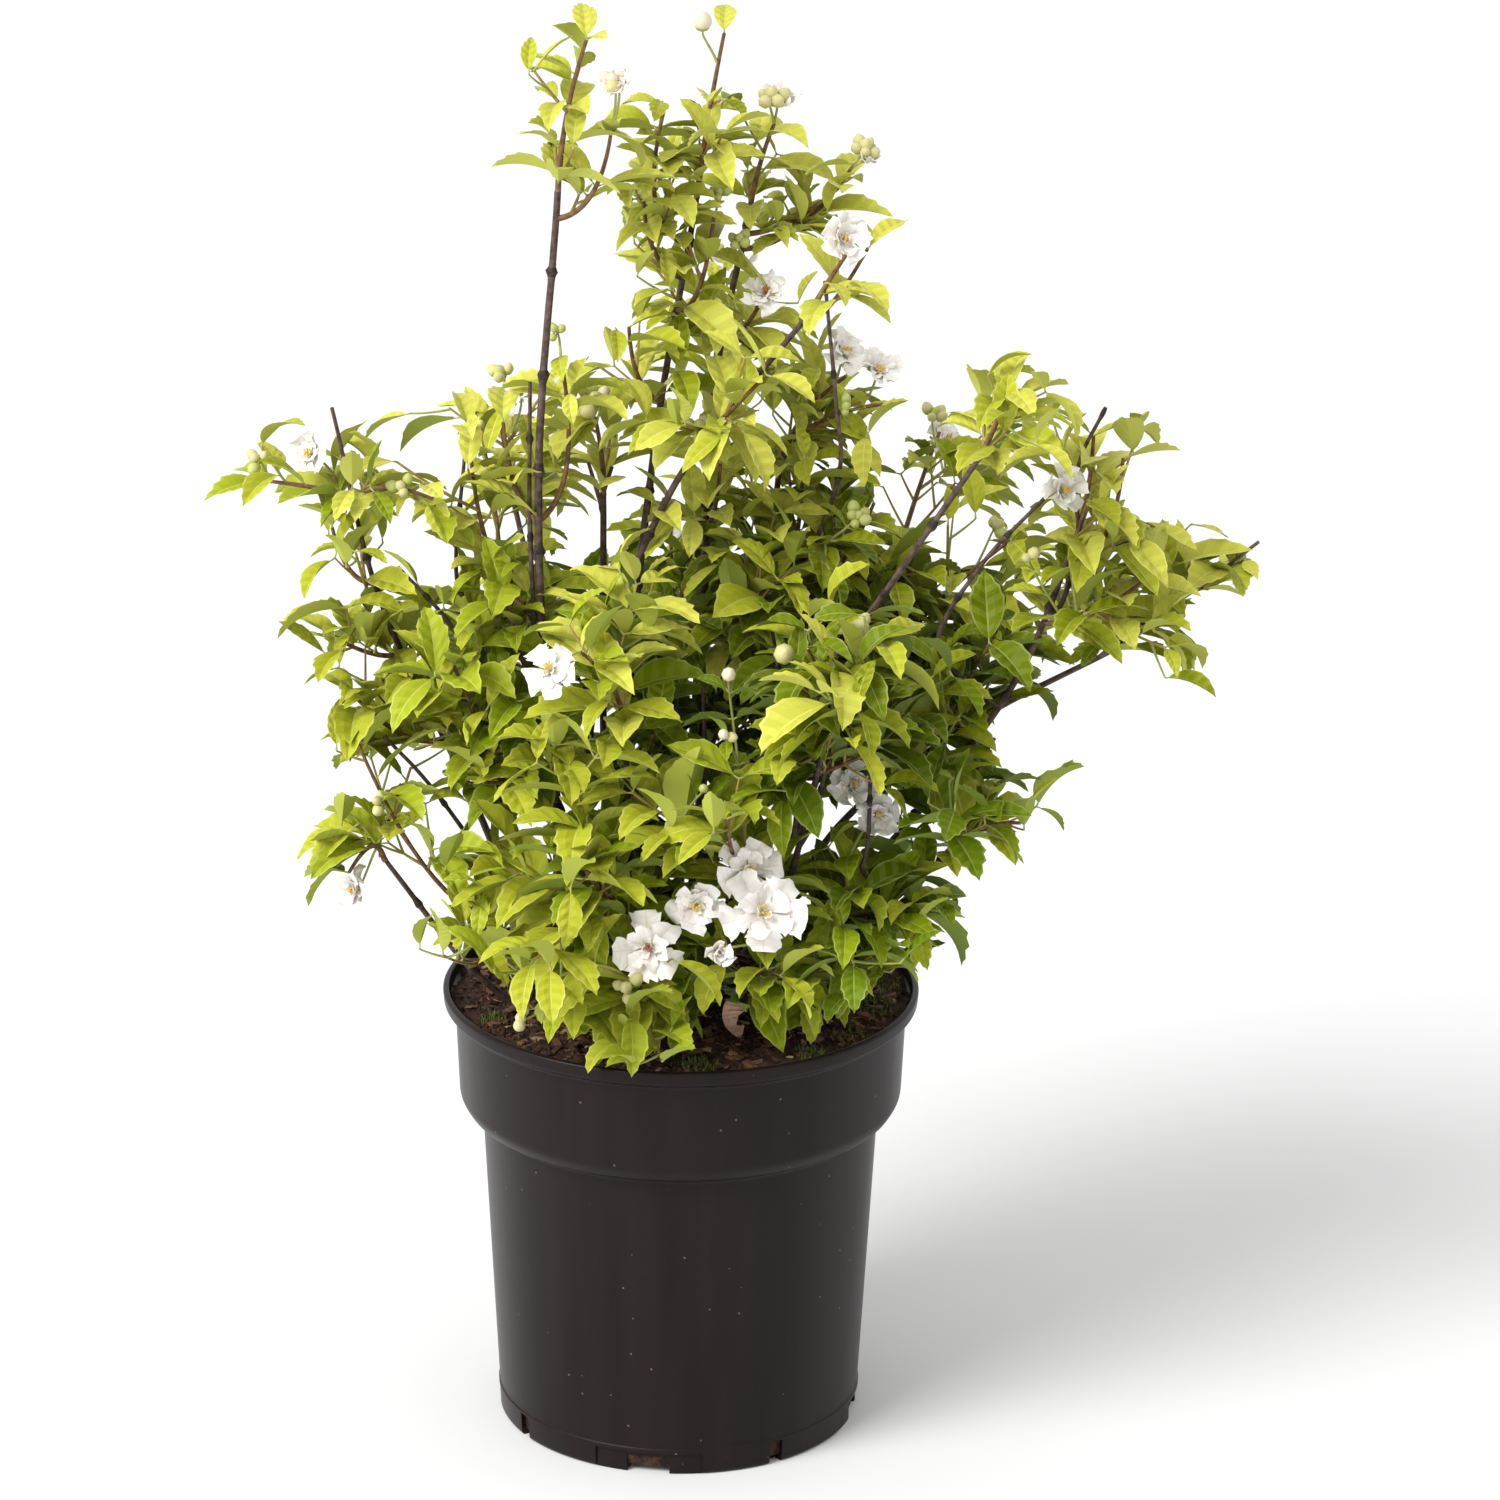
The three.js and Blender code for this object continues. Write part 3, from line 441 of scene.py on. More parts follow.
cushions = Bunch()
for x, y, size in MOSS_CUSHIONS:
    for _ in range(MOSS_LEAVES):
        turn, reach = grit.uniform(0, 2 * math.pi), size * MM * math.sqrt(grit.random())
        foot_x = x * MM + reach * math.cos(turn)
        foot_y = y * MM + reach * math.sin(turn)
        foot = Vector((foot_x, foot_y, soil_level(foot_x, foot_y) - 1 * MM))
        if foot.xy.length > SOIL_RADIUS - 3 * MM:
            continue
        rise = Vector((0, 0, MOSS_HEIGHT * grit.uniform(0.6, 1.1)))
        tip = foot + Vector(grit.normal(0, 0.8 * MM, 3)) + rise
        cushions.add(*tube([foot, foot.lerp(tip, 0.5), tip], [0.5 * MM, 0.55 * MM, 0.1 * MM], 4), int(grit.integers(2)))
moss = cushions.joined("moss", [
    mottled("moss_green", (0.06, 0.09, 0.015), (0.14, 0.18, 0.03), 400),
    mottled("moss_olive", (0.05, 0.05, 0.015), (0.12, 0.11, 0.03), 400),
])
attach(moss, "root")

# ---------------------------------------------------------------- the stems
# Slender woody stems rise from the compost, four to five millimetres thick at the foot. Their thin bark
# is dark purple brown with fine ridges, and a swollen ring with two buds marks each joint.
STEMS = (
    ("tall_left", 4.6, 3.2, ((-44, -18, 216), (-60, -38, 340), (-67, -44, 480), (-58, -38, 622))),
    ("centre_left", 4, 3, ((-28, 4, 216), (-37, 0, 330), (-38, 3, 466))),
    ("tall_centre", 4.6, 2.8, ((-13, 14, 216), (-25, 6, 350), (-15, 10, 480), (5, 21, 606))),
    ("tall_right", 4.4, 3, ((6, 24, 216), (9, 30, 350), (13, 39, 500), (29, 42, 590))),
    ("leaning", 4.4, 2.6, ((-30, -20, 216), (-44, -14, 350), (-8, -13, 468), (58, -26, 563))),
    ("right_long", 4.2, 2.6, ((13, -20, 216), (40, -52, 350), (96, -70, 445), (136, -78, 510))),
    ("right_far", 4.2, 2.8, ((31, -7, 216), (90, -15, 286), (154, -25, 379), (182, -30, 452))),
    ("right_low", 4, 2.6, ((36, 10, 216), (72, 4, 296), (136, 2, 352), (204, 10, 388))),
    ("left_upright", 4.2, 1.8, ((-62, 0, 216), (-100, -10, 318), (-142, -22, 420), (-163, -30, 516))),
    ("left_lowest", 3.6, 2.2, ((-82, -18, 216), (-105, -30, 244), (-140, -45, 299))),
    ("back_middle", 4.4, 3, ((20, 40, 216), (36, 46, 330), (44, 50, 455))),
    ("back_left", 4.2, 2.6, ((-26, 36, 216), (-56, 80, 316), (-84, 122, 420))),
    ("back_top", 4.4, 2.6, ((-4, 44, 216), (6, 84, 350), (12, 104, 470))),
    ("back_right", 4.2, 2.6, ((32, 50, 216), (70, 92, 306), (104, 128, 396))),
    ("front_left", 4, 2.6, ((-14, -40, 216), (-22, -66, 296), (-26, -84, 378))),
    ("front_right", 4, 2.6, ((28, -34, 216), (50, -62, 292), (66, -82, 368))),
    ("low_right", 3.6, 2.4, ((54, -16, 216), (84, -30, 258), (124, -44, 302))),
)
STEM_SIDES = 12
STEM_STEP = 2.2 * MM
STEM_FOOT_DEPTH = 3 * MM
FLARE_HEIGHT = 9 * MM
FLARE_WIDTH = 1.7
JOINT_SPACING = 43 * MM
JOINT_SWELLING = 0.6
JOINT_HEIGHT = 1.7 * MM
JOINT_BUD = 0.65
RIDGE_DEPTH = 0.05
UP = Vector((0, 0, 1))


class Limb:
    """A smooth limb through its bends, with its place and direction at any share of its length."""

    def __init__(self, route, thick, thin):
        bends = [Vector(bend) * MM for bend in route]
        bends = [2 * bends[0] - bends[1]] + bends + [2 * bends[-1] - bends[-2]]
        self.points = [
            self.between_bends(*bends[k:k + 4], share)
            for k in range(len(bends) - 3) for share in np.linspace(0, 1, 60, endpoint=k == len(bends) - 4)
        ]
        steps = [(b - a).length for a, b in zip(self.points, self.points[1:])]
        self.lengths = np.concatenate([[0], np.cumsum(steps)])
        self.length = self.lengths[-1]
        self.thick = thick * MM
        self.thin = thin * MM

    @staticmethod
    def between_bends(before, start, end, after, share):
        leave, arrive = (end - before) / 2, (after - start) / 2
        cubed = 2 * (start - end) + leave + arrive
        squared = 3 * (end - start) - 2 * leave - arrive
        return start + (leave + (squared + cubed * share) * share) * share

    def point(self, share):
        spot = share * self.length
        return Vector([np.interp(spot, self.lengths, [p[axis] for p in self.points]) for axis in range(3)])

    def way(self, share):
        step = 0.5 * MM / self.length
        return (self.point(min(1, share + step)) - self.point(max(0, share - step))).normalized()

    def radius(self, share):
        return (self.thick + (self.thin - self.thick) * share) / 2


def barked(limb, seed, foot_depth=0.0):
    """A limb with ridged bark, swollen joints with opposite buds and a flare; joints are marked 1."""
    count = max(6, round(limb.length / STEM_STEP))
    heights = np.linspace(0, limb.length, count + 1)
    columns = [np.array([p[axis] for p in limb.points]) for axis in range(3)]
    route = np.stack([np.interp(heights, limb.lengths, column) for column in columns], 1)
    route[0] -= np.array(limb.way(0)) * foot_depth
    turns = np.linspace(0, 2 * math.pi, STEM_SIDES, endpoint=False)
    chance = np.random.default_rng(seed)
    phases = chance.uniform(0, 2 * math.pi, 3)
    joints = np.arange(JOINT_SPACING * chance.uniform(0.4, 0.9), limb.length, JOINT_SPACING)
    joints += chance.uniform(-0.15, 0.15, len(joints)) * JOINT_SPACING
    radii = []
    for height in heights:
        radius = limb.thick / 2 + (limb.thin - limb.thick) / 2 * height / limb.length
        ridges = 1 + RIDGE_DEPTH * np.sin(5 * turns + phases[0] + 60 * height)
        ridges += RIDGE_DEPTH / 2 * np.sin(3 * turns + phases[1] - 210 * height)
        for number, joint in enumerate(joints):
            near = math.exp(-((height - joint) / JOINT_HEIGHT) ** 2)
            buds = np.clip(np.cos(2 * (turns - phases[2] - number * math.pi / 2)), 0, 1) ** 2
            ridges += near * (JOINT_SWELLING + JOINT_BUD * buds)
        if foot_depth > 0:
            ridges += (FLARE_WIDTH - 1) * math.exp(-height / FLARE_HEIGHT * 2)
        radii.append(radius * ridges)
    dark = [any(abs(height - joint) < JOINT_HEIGHT * 1.2 for joint in joints) for height in heights[:-1]]
    return *tube(route, radii, STEM_SIDES), np.repeat(np.array(dark + [False], int), 2 * STEM_SIDES)


bark_dark = mottled("bark_purple_brown", (0.035, 0.02, 0.017), (0.12, 0.078, 0.064), 260, 0.62, 0.25 * MM)
bark_joint = mottled("bark_joint", (0.015, 0.009, 0.008), (0.055, 0.032, 0.026), 400, 0.7, 0.25 * MM)
bark_grey = mottled("bark_grey_brown", (0.055, 0.036, 0.03), (0.17, 0.12, 0.1), 260, 0.7, 0.25 * MM)
stems = {}
for number, (name, thick, thin, route) in enumerate(STEMS):
    stems[name] = Limb(route, thick, thin)
    points, faces, joint_marks = barked(stems[name], 300 + number, STEM_FOOT_DEPTH)
    stem = smooth_mesh(f"bark_{name}", points, faces, [bark_dark, bark_joint], joint_marks)
    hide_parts(f"stem_{name}")
    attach(stem, "root")

# Older bare twigs stand among the leaves. Each forks off the nearest stem and has the same bark.
BARE_TWIGS = (
    ((-68, -42, 407), (-71, -41, 466), (-71, -36, 531)),
    ((-39, 3, 460), (-45, 2, 481)),
    ((-39, 3, 462), (-34, 6, 478)),
    ((58, 22, 430), (73, 20, 471), (71, 18, 508), (65, 14, 567)),
    ((120, -30, 402), (139, -30, 442), (169, -36, 479)),
    ((-100, -14, 380), (-109, -25, 409), (-133, -30, 439)),
    ((-88, -26, 285), (-118, -45, 336), (-139, -50, 362)),
    ((46, -60, 300), (54, -62, 333), (42, -50, 417)),
    ((2, -66, 290), (11, -70, 338), (10, -60, 391)),
    ((62, -58, 325), (70, -60, 359), (88, -55, 402)),
    ((86, -60, 300), (88, -60, 317), (89, -58, 379)),
    ((130, -14, 320), (137, -18, 333), (148, -18, 353)),
    ((178, -28, 425), (184, -30, 455), (183, -32, 491), (195, -34, 521)),
    ((215, 8, 400), (235, 6, 415), (253, 8, 428), (272, 10, 443)),
    ((-92, 14, 390), (-108, 20, 417), (-104, 24, 481)),
)
BARE_THICK = 2.5
BARE_THIN = 1.7


def nearest_on_stems(place):
    """The nearest point on any stem's middle line."""
    return min((p for stem in stems.values() for p in stem.points[::6]), key=lambda p: (p - place).length)


twigs_bare = Bunch()
limb_points = [point for stem in stems.values() for point in stem.points[::8]]
for number, route in enumerate(BARE_TWIGS):
    foot = nearest_on_stems(Vector(route[0]) * MM - UP * 12 * MM) / MM
    twig = Limb((tuple(foot), *route), BARE_THICK, BARE_THIN)
    limb_points += twig.points[::8]
    points, faces, joint_marks = barked(twig, 400 + number)
    twigs_bare.add(points, faces, np.where(joint_marks == 1, 2, number % 2))
bare_twigs = twigs_bare.joined("bare_twigs", [bark_dark, bark_grey, bark_joint])
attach(bare_twigs, "root")

# ---------------------------------------------------------------- the leafy shoots
# Each shoot is this or last year's growth: a twig with pairs of side twigs and finer twigs, each pair
# a quarter turn from the last. Green at the tips, it turns orange brown and then woody towards its stem.
# A shoot grows from its stem at a share of its length and ends at a point. Then come how long its side
# twigs get, the share of it that is bare, how far it bows up, and the share of joints with a side twig.
SHOOTS = (
    ("tall_left", "top", 1, (-45, -35, 692), 22, 0.1, 0.12, 0.55),
    ("tall_left", "shoulder", 0.5, (-100, -22, 504), 40, 0.45, 0.12, 0.55),
    ("tall_left", "low", 0.3, (-92, -62, 344), 50, 0.15, 0.12, 0.8),
    ("centre_left", "top", 1, (-42, 0, 504), 48, 0.15, 0.12, 0.55),
    ("tall_centre", "top", 1, (17, 25, 682), 28, 0.15, 0.12, 0.55),
    ("tall_centre", "upper", 0.9, (-20, 4, 616), 28, 0.15, 0.12, 0.55),
    ("tall_centre", "middle", 0.75, (-26, -8, 550), 36, 0.15, 0.12, 0.55),
    ("tall_right", "top", 1, (45, 44, 645), 20, 0.15, 0.12, 0.55),
    ("tall_right", "arm", 0.96, (82, 44, 622), 16, 0.4, 0.12, 0.55),
    ("tall_right", "middle", 0.84, (38, 14, 562), 32, 0.15, 0.12, 0.55),
    ("tall_right", "low", 0.45, (44, -14, 430), 52, 0.15, 0.12, 0.8),
    ("leaning", "top", 1, (76, -29, 594), 20, 0.3, 0.12, 0.55),
    ("right_long", "top", 1, (148, -80, 540), 44, 0.15, 0.12, 0.55),
    ("right_long", "low", 0.42, (92, -86, 372), 48, 0.15, 0.12, 0.8),
    ("right_far", "top", 1, (190, -30, 506), 32, 0.15, 0.12, 0.55),
    ("right_far", "side", 0.86, (216, -34, 438), 36, 0.15, 0.12, 0.55),
    ("right_low", "top", 1, (264, 13, 432), 36, 0.05, 0.12, 0.7),
    ("right_low", "inner", 0.45, (156, 50, 430), 50, 0.3, 0.12, 0.55),
    ("left_upright", "left", 0.86, (-196, -16, 476), 22, 0.15, 0.15, 0.55),
    ("left_upright", "right", 0.86, (-116, -36, 474), 22, 0.15, 0.2, 0.55),
    ("left_upright", "middle", 0.6, (-162, -32, 404), 32, 0.15, 0.12, 0.55),
    ("left_upright", "inner", 0.42, (-96, 48, 474), 44, 0.4, 0.12, 0.55),
    ("left_upright", "low", 0.36, (-106, -58, 400), 40, 0.15, 0.12, 0.55),
    ("left_upright", "arm", 0.14, (-152, -50, 360), 30, 0.6, 0.12, 0.55),
    ("left_lowest", "top", 1, (-156, -56, 296), 28, 0.15, 0.5, 0.55),
    ("left_lowest", "inner", 0.3, (-98, -72, 286), 44, 0.15, 0.12, 0.55),
    ("back_middle", "top", 1, (76, 52, 510), 42, 0.15, 0.12, 0.55),
    ("back_middle", "right", 0.6, (96, 26, 404), 50, 0.15, 0.12, 0.7),
    ("back_left", "top", 1, (-94, 136, 478), 44, 0.15, 0.12, 0.55),
    ("back_left", "low", 0.5, (-116, 92, 348), 44, 0.15, 0.12, 0.55),
    ("back_top", "top", 1, (18, 112, 548), 42, 0.15, 0.12, 0.55),
    ("back_top", "low", 0.55, (-8, 138, 408), 46, 0.15, 0.12, 0.55),
    ("back_right", "top", 1, (124, 144, 456), 42, 0.15, 0.12, 0.55),
    ("back_right", "low", 0.5, (110, 104, 318), 46, 0.15, 0.12, 0.55),
    ("front_left", "top", 1, (-46, -96, 420), 48, 0.15, 0.12, 0.7),
    ("front_left", "side", 0.45, (-44, -112, 322), 52, 0.15, 0.12, 0.9),
    ("front_left", "low", 0.12, (-20, -108, 268), 44, 0.15, 0.12, 0.8),
    ("front_right", "top", 1, (58, -100, 424), 48, 0.15, 0.12, 0.7),
    ("front_right", "side", 0.5, (22, -114, 346), 52, 0.15, 0.12, 0.9),
    ("front_right", "low", 0.15, (48, -104, 286), 46, 0.15, 0.12, 0.8),
    ("low_right", "top", 1, (160, -50, 322), 44, 0.15, 0.2, 0.55),
)
# Shorter shoots fill the crown's middle. They fork off the same stems and grow by the same rule.
INNER_SHOOTS = (
    ("tall_centre", "inner", 0.28, (-11, -2, 338), 44, 0.2, 0.12, 0.9),
    ("tall_right", "inner", 0.3, (20, 4, 362), 42, 0.2, 0.12, 0.9),
    ("tall_right", "crown", 0.6, (17, 14, 478), 38, 0.2, 0.12, 0.8),
    ("back_middle", "crown", 0.8, (56, 28, 474), 38, 0.2, 0.12, 0.8),
    ("back_middle", "side", 0.75, (90, 30, 454), 36, 0.2, 0.12, 0.8),
    ("back_middle", "low", 0.35, (30, 62, 330), 44, 0.2, 0.12, 0.8),
    ("low_right", "front", 0.35, (84, -70, 292), 38, 0.15, 0.12, 0.9),
    ("low_right", "side", 0.6, (108, -56, 282), 34, 0.15, 0.12, 0.9),
    ("low_right", "foot", 0.15, (90, -58, 258), 30, 0.15, 0.12, 0.9),
    ("right_far", "inner", 0.62, (146, -18, 400), 36, 0.15, 0.12, 0.8),
    ("right_low", "low", 0.5, (128, -16, 366), 36, 0.15, 0.12, 0.8),
    ("left_upright", "outer", 0.72, (-164, -24, 456), 26, 0.15, 0.12, 0.8),
    ("left_upright", "lower", 0.45, (-154, -38, 378), 24, 0.15, 0.12, 0.8),
    ("front_left", "foot", 0.2, (-58, -70, 294), 36, 0.15, 0.12, 0.8),
    ("front_left", "inner", 0.4, (-20, -58, 318), 36, 0.15, 0.12, 0.8),
    ("tall_centre", "left tip", 0.94, (-10, 13, 650), 16, 0.2, 0.12, 0.8),
    ("tall_centre", "right tip", 0.86, (13, 8, 600), 20, 0.2, 0.12, 0.8),
    ("tall_right", "right tip", 0.98, (72, 40, 606), 16, 0.2, 0.12, 0.8),
    ("leaning", "drooping tip", 0.98, (84, -28, 594), 8, 0.3, 0.12, 0.8),
    ("back_middle", "right tip", 1, (94, 40, 500), 24, 0.3, 0.12, 0.8),
    ("tall_left", "upper shoulder", 0.62, (-84, -24, 508), 24, 0.3, 0.12, 0.8),
    ("tall_left", "right tip", 0.97, (-34, -36, 648), 14, 0.2, 0.12, 0.8),
    ("tall_left", "middle", 0.42, (-80, -34, 440), 30, 0.2, 0.12, 0.8),
    ("right_far", "high", 0.98, (204, -32, 496), 22, 0.2, 0.12, 0.8),
    ("back_top", "inner", 0.45, (-40, 62, 384), 44, 0.2, 0.12, 0.8),
    ("back_right", "inner", 0.6, (62, 84, 384), 44, 0.2, 0.12, 0.8),
    ("tall_left", "bud spray", 0.62, (-57, -31, 542), 6, 0.7, 0.12, 0),
    ("leaning", "front", 0.8, (38, -52, 540), 24, 0.15, 0.12, 0.9),
)
TWIG_START = 3 * MM
TWIG_BEND = 0.4
TWIG_OPENING = 50
TWIG_RISE = 0.12
TWIG_LENGTHS = (0.7, 1.2)
SIDE_INTERNODE = 27 * MM          # side twigs stand so far apart
NODE_SETBACK = 3 * MM
PAIR_WANDER = 40
LEVEL_PAIRS = 0.5
NEARLY_UPRIGHT = 0.95
FIRST_SEED = 4021
SEED_STEP = 137
GAP = 0.3 * MM
ROOM = 22 * MM                    # a shoot's space reaches so far past its side twigs
SHOOT_RADII = (1.5 * MM, 0.85 * MM)
SIDE_RADII = (0.95 * MM, 0.6 * MM)
FINE_RADII = (0.7 * MM, 0.45 * MM)
FINE_TWIGS = (0.5, 0.25)          # share of leaf roots with a finer twig, low down and at the top
FINE_LENGTHS = (12 * MM, 26 * MM)


def seeded_numbers(seed):
    """Numbers from 0 to 1 that come out the same each time for one seed."""
    state = seed
    while True:
        state = state * 16807 % 2147483647
        yield (state - 1) / 2147483646


def between(least, most, share):
    return least + (most - least) * share


def pair_side(way, pair, hand, wander):
    """The way of one leaf or twig of a pair, which stands a quarter turn from the last pair."""
    level = Vector((1, 0, 0)) if abs(way.z) > NEARLY_UPRIGHT else UP
    level = -level.cross(way).normalized()
    rise = level.cross(way)
    phase = math.radians(90 * (pair % 2) + PAIR_WANDER * (wander - 0.5))
    flat = between(LEVEL_PAIRS, 1, abs(way.z))
    return ((level * math.cos(phase) + rise * flat * math.sin(phase)) * hand).normalized()


def opened_from(way, side, angle):
    return way * math.cos(math.radians(angle)) + side * math.sin(math.radians(angle))


def bowed(start, out, end, lift, share):
    """A point of a twig that leaves its stem along "out", bows up and ends at "end"."""
    span = (end - start).length
    bend = start + out * TWIG_BEND * span + UP * lift * span
    return start.lerp(bend, share).lerp(bend.lerp(end, share), share)


class Twig:
    """A twig of one shoot: its smooth route, its radii, the share of it that is bare and its order."""

    def __init__(self, shoot, route, radii, bare, order, parent=None, at=0):
        self.shoot = shoot
        self.route = route
        self.radii = radii
        self.bare = bare
        self.order = order
        self.parent = parent
        self.at = at
        self.borne = 0
        self.length = sum((b - a).length for a, b in zip(route, route[1:]))

    def bear(self, share):
        """Notes that the twig carries something at that share of its length."""
        self.borne = max(self.borne, share)
        if self.parent:
            self.parent.bear(self.at)

    def borne_route(self):
        """The twig's route, cut off just past the last thing that it carries."""
        spots = np.linspace(0, min(1, self.borne + 0.02), len(self.route)).tolist()
        return [self.point(spot) for spot in spots]

    def point(self, share):
        spot = min(share, 0.9999) * (len(self.route) - 1)
        return self.route[int(spot)].lerp(self.route[int(spot) + 1], spot % 1)

    def way(self, share):
        return (self.point(min(1, share + 0.05)) - self.point(max(0, share - 0.05))).normalized()


def side_twig(parent, at, foot, way, length, radii):
    """A finer twig that leaves its parent at a share of it and bends up a little."""
    route = [foot + way * length * t + UP * TWIG_RISE * length * t * t for t in np.linspace(0, 1, 7)]
    return Twig(parent.shoot, route, radii, 0.25, parent.order + 1, parent, at)


twigs = []
spaces = []
for number, (stem_name, name, at, to, wide, bare, lift, bushy) in enumerate(SHOOTS + INNER_SHOOTS):
    stem = stems[stem_name]
    foot, out, end = stem.point(at), stem.way(at), Vector(to) * MM
    if at < 1:
        out = end - foot
        out = (out - stem.way(at) * out.dot(stem.way(at))).normalized()
        foot = foot + out * stem.radius(at)
    root = foot + out * GAP
    route = [foot - out * stem.radius(at)] + [bowed(root, out, end, lift, t) for t in np.linspace(0, 1, 16)]
    shoot = Twig(number, route, SHOOT_RADII, bare, 0)
    twigs.append(shoot)
    spaces.append((route, wide * MM + ROOM))
    draw = seeded_numbers(FIRST_SEED + SEED_STEP * number)
    pairs = max(1, math.floor((end - root).length * (1 - bare) / SIDE_INTERNODE + 0.5))
    joints = [root + out * TWIG_START]
    joints += [bowed(root, out, end, lift, between(bare, 1, k / pairs)) for k in range(pairs + 1)]
    for pair in range(pairs):
        way = (joints[pair + 1] - joints[pair]).normalized()
        for hand in (-1, 1):
            wander = next(draw)
            length = wide * MM * between(*TWIG_LENGTHS, next(draw))
            if next(draw) > bushy:
                continue
            side = opened_from(way, pair_side(way, pair, hand, wander), TWIG_OPENING).normalized()
            foot = joints[pair + 1] - way * NODE_SETBACK
            at_joint = between(bare, 1, (pair + 1) / pairs)
            twigs.append(side_twig(shoot, at_joint, foot, side, length, SIDE_RADII))

# ---------------------------------------------------------------- blooms and buds
# The blooms are semi-double: five broad white petals, a frill of narrower ones and a tuft of yellow
# stamens, on a short green stalk from the nearest twig. Each is given by its place, its width, how
# far it has opened, and whether its heart has turned red brown.
BLOOMS = (
    ((-60, -109, 416), 25, 1, 0), ((-14, -112, 281), 30, 1, 1), ((8, -106, 300), 25, 0.8, 0),
    ((32, -100, 316), 28, 0.9, 0), ((39, -110, 299), 37, 1, 0), ((19, -114, 280), 16, 0.45, 0),
    ((-154, -57, 288), 20, 0.7, 0), ((73, -30, 599), 24, 0.75, 0), ((37, 13, 562), 20, 0.9, 1),
    ((76, 46, 524), 24, 0.9, 0), ((92, 48, 515), 22, 0.75, 0), ((176, -47, 485), 22, 0.8, 0),
    ((81, -56, 342), 23, 0.9, 0), ((93, -54, 327), 20, 0.7, 0), ((-174, -24, 492), 18, 0.7, 0),
    ((43, 40, 648), 19, 0.7, 0), ((84, 40, 620), 14, 0.4, 0), ((-31, -38, 672), 15, 0.5, 0),
    ((-84, 146, 474), 25, 1, 0), ((22, 124, 548), 28, 0.9, 0), ((128, 150, 450), 24, 0.8, 0),
    ((-14, 148, 404), 22, 1, 1), ((-126, 98, 356), 20, 0.7, 0), ((118, 112, 330), 25, 0.9, 0),
)
PETAL_COUNTS = (5, 6, 4)          # outer petals, frill and the curled ones round the heart
PETAL_LENGTHS = (0.5, 0.38, 0.24) # over the bloom's width
PETAL_WIDTHS = (0.47, 0.25, 0.12)
PETAL_OPENINGS = (82, 58, 26)
PLUMPNESS = (0.8, 1.25)
STAMEN_COUNT = 16
STAMEN_LENGTH = 0.17
STALK_RADIUS = 0.5 * MM
WINDOW_DEPTH = 80 * MM            # leaves leave this much free before an open bloom

# Between them stand knots of round buds, from small green ones to large cream ones about to open:
# the place, the number of buds, the width of one, and how far they have ripened from green to cream.
BUD_KNOTS = (
    ((-33, -37, 674), 4, 6.5, 1), ((-41, -6, 514), 3, 7.5, 0.9), ((22, -98, 410), 1, 9, 1),
    ((47, -93, 418), 1, 9, 1), ((82, -73, 425), 2, 8, 0.9), ((83, 40, 625), 6, 7, 0.6),
    ((25, 14, 587), 5, 5.5, 0.3), ((-23, 2, 612), 4, 5.5, 0.3), ((-131, -38, 481), 4, 6, 0.5),
    ((7, -4, 501), 5, 6, 0.4), ((82, -6, 459), 6, 6, 0.4), ((267, 9, 433), 3, 5, 0.3),
    ((163, -44, 453), 2, 6, 0.7), ((196, -24, 405), 2, 5, 0.5), ((-24, -114, 262), 4, 6.5, 0.6),
    ((-74, -88, 236), 3, 6.5, 0.8), ((-142, -54, 331), 3, 6, 0.6), ((11, -113, 360), 1, 6, 0.4),
    ((20, -108, 385), 2, 6.5, 0.9), ((7, 17, 687), 1, 9, 1.3), ((39, 37, 650), 6, 6.5, 0.8),
    ((-60, -30, 555), 4, 5.5, 0.3), ((-200, -18, 488), 4, 6, 0.6), ((15, 16, 609), 4, 5, 0.3),
    ((76, 16, 506), 3, 5, 0.3), ((-92, 138, 486), 4, 6, 0.6), ((10, 118, 556), 4, 6, 0.5),
    ((122, 142, 466), 5, 6, 0.5), ((-104, 52, 482), 4, 6, 0.4), ((150, 54, 436), 3, 6, 0.6),
    ((96, 100, 344), 3, 6, 0.7), ((30, 118, 470), 3, 6, 0.5),
)
CROWN_MIDDLE = Vector((0, 0, 300)) * MM
LIGHT_WAY = Vector((-0.1, -0.95, 0.35))

# Half widths of a blade along its length, over its greatest, from its root to its point.
ROW_PLACES = np.array((0.04, 0.1, 0.18, 0.27, 0.36, 0.45, 0.54, 0.63, 0.72, 0.82, 0.92))
LEAF_OUTLINE = np.array((0.34, 0.6, 0.82, 0.95, 1, 0.97, 0.87, 0.72, 0.54, 0.34, 0.15))
LEAF_TEETH = np.array((0, 0, 0, 0.03, -0.03, 0.045, -0.045, 0.06, -0.06, 0.07, -0.04))
PETAL_OUTLINE = np.array((0.22, 0.32, 0.46, 0.62, 0.77, 0.89, 0.97, 1.02, 1, 0.88, 0.6))
COLUMNS = np.array((-1, -0.88, -0.45, -0.055, 0.055, 0.45, 0.88, 1))
ROWS = len(ROW_PLACES)
# Finishes of a blade's faces. The blade's rows take the shaded and the lit finish in turn: painted shade and painted
# light of the quilted veins.
QUILT_SHADED, QUILT_LIT, MARGIN, MIDRIB, UNDERSIDE = range(5)
BAND_MARKS = (MARGIN, QUILT_SHADED, QUILT_SHADED, MIDRIB, QUILT_SHADED, QUILT_SHADED, MARGIN)


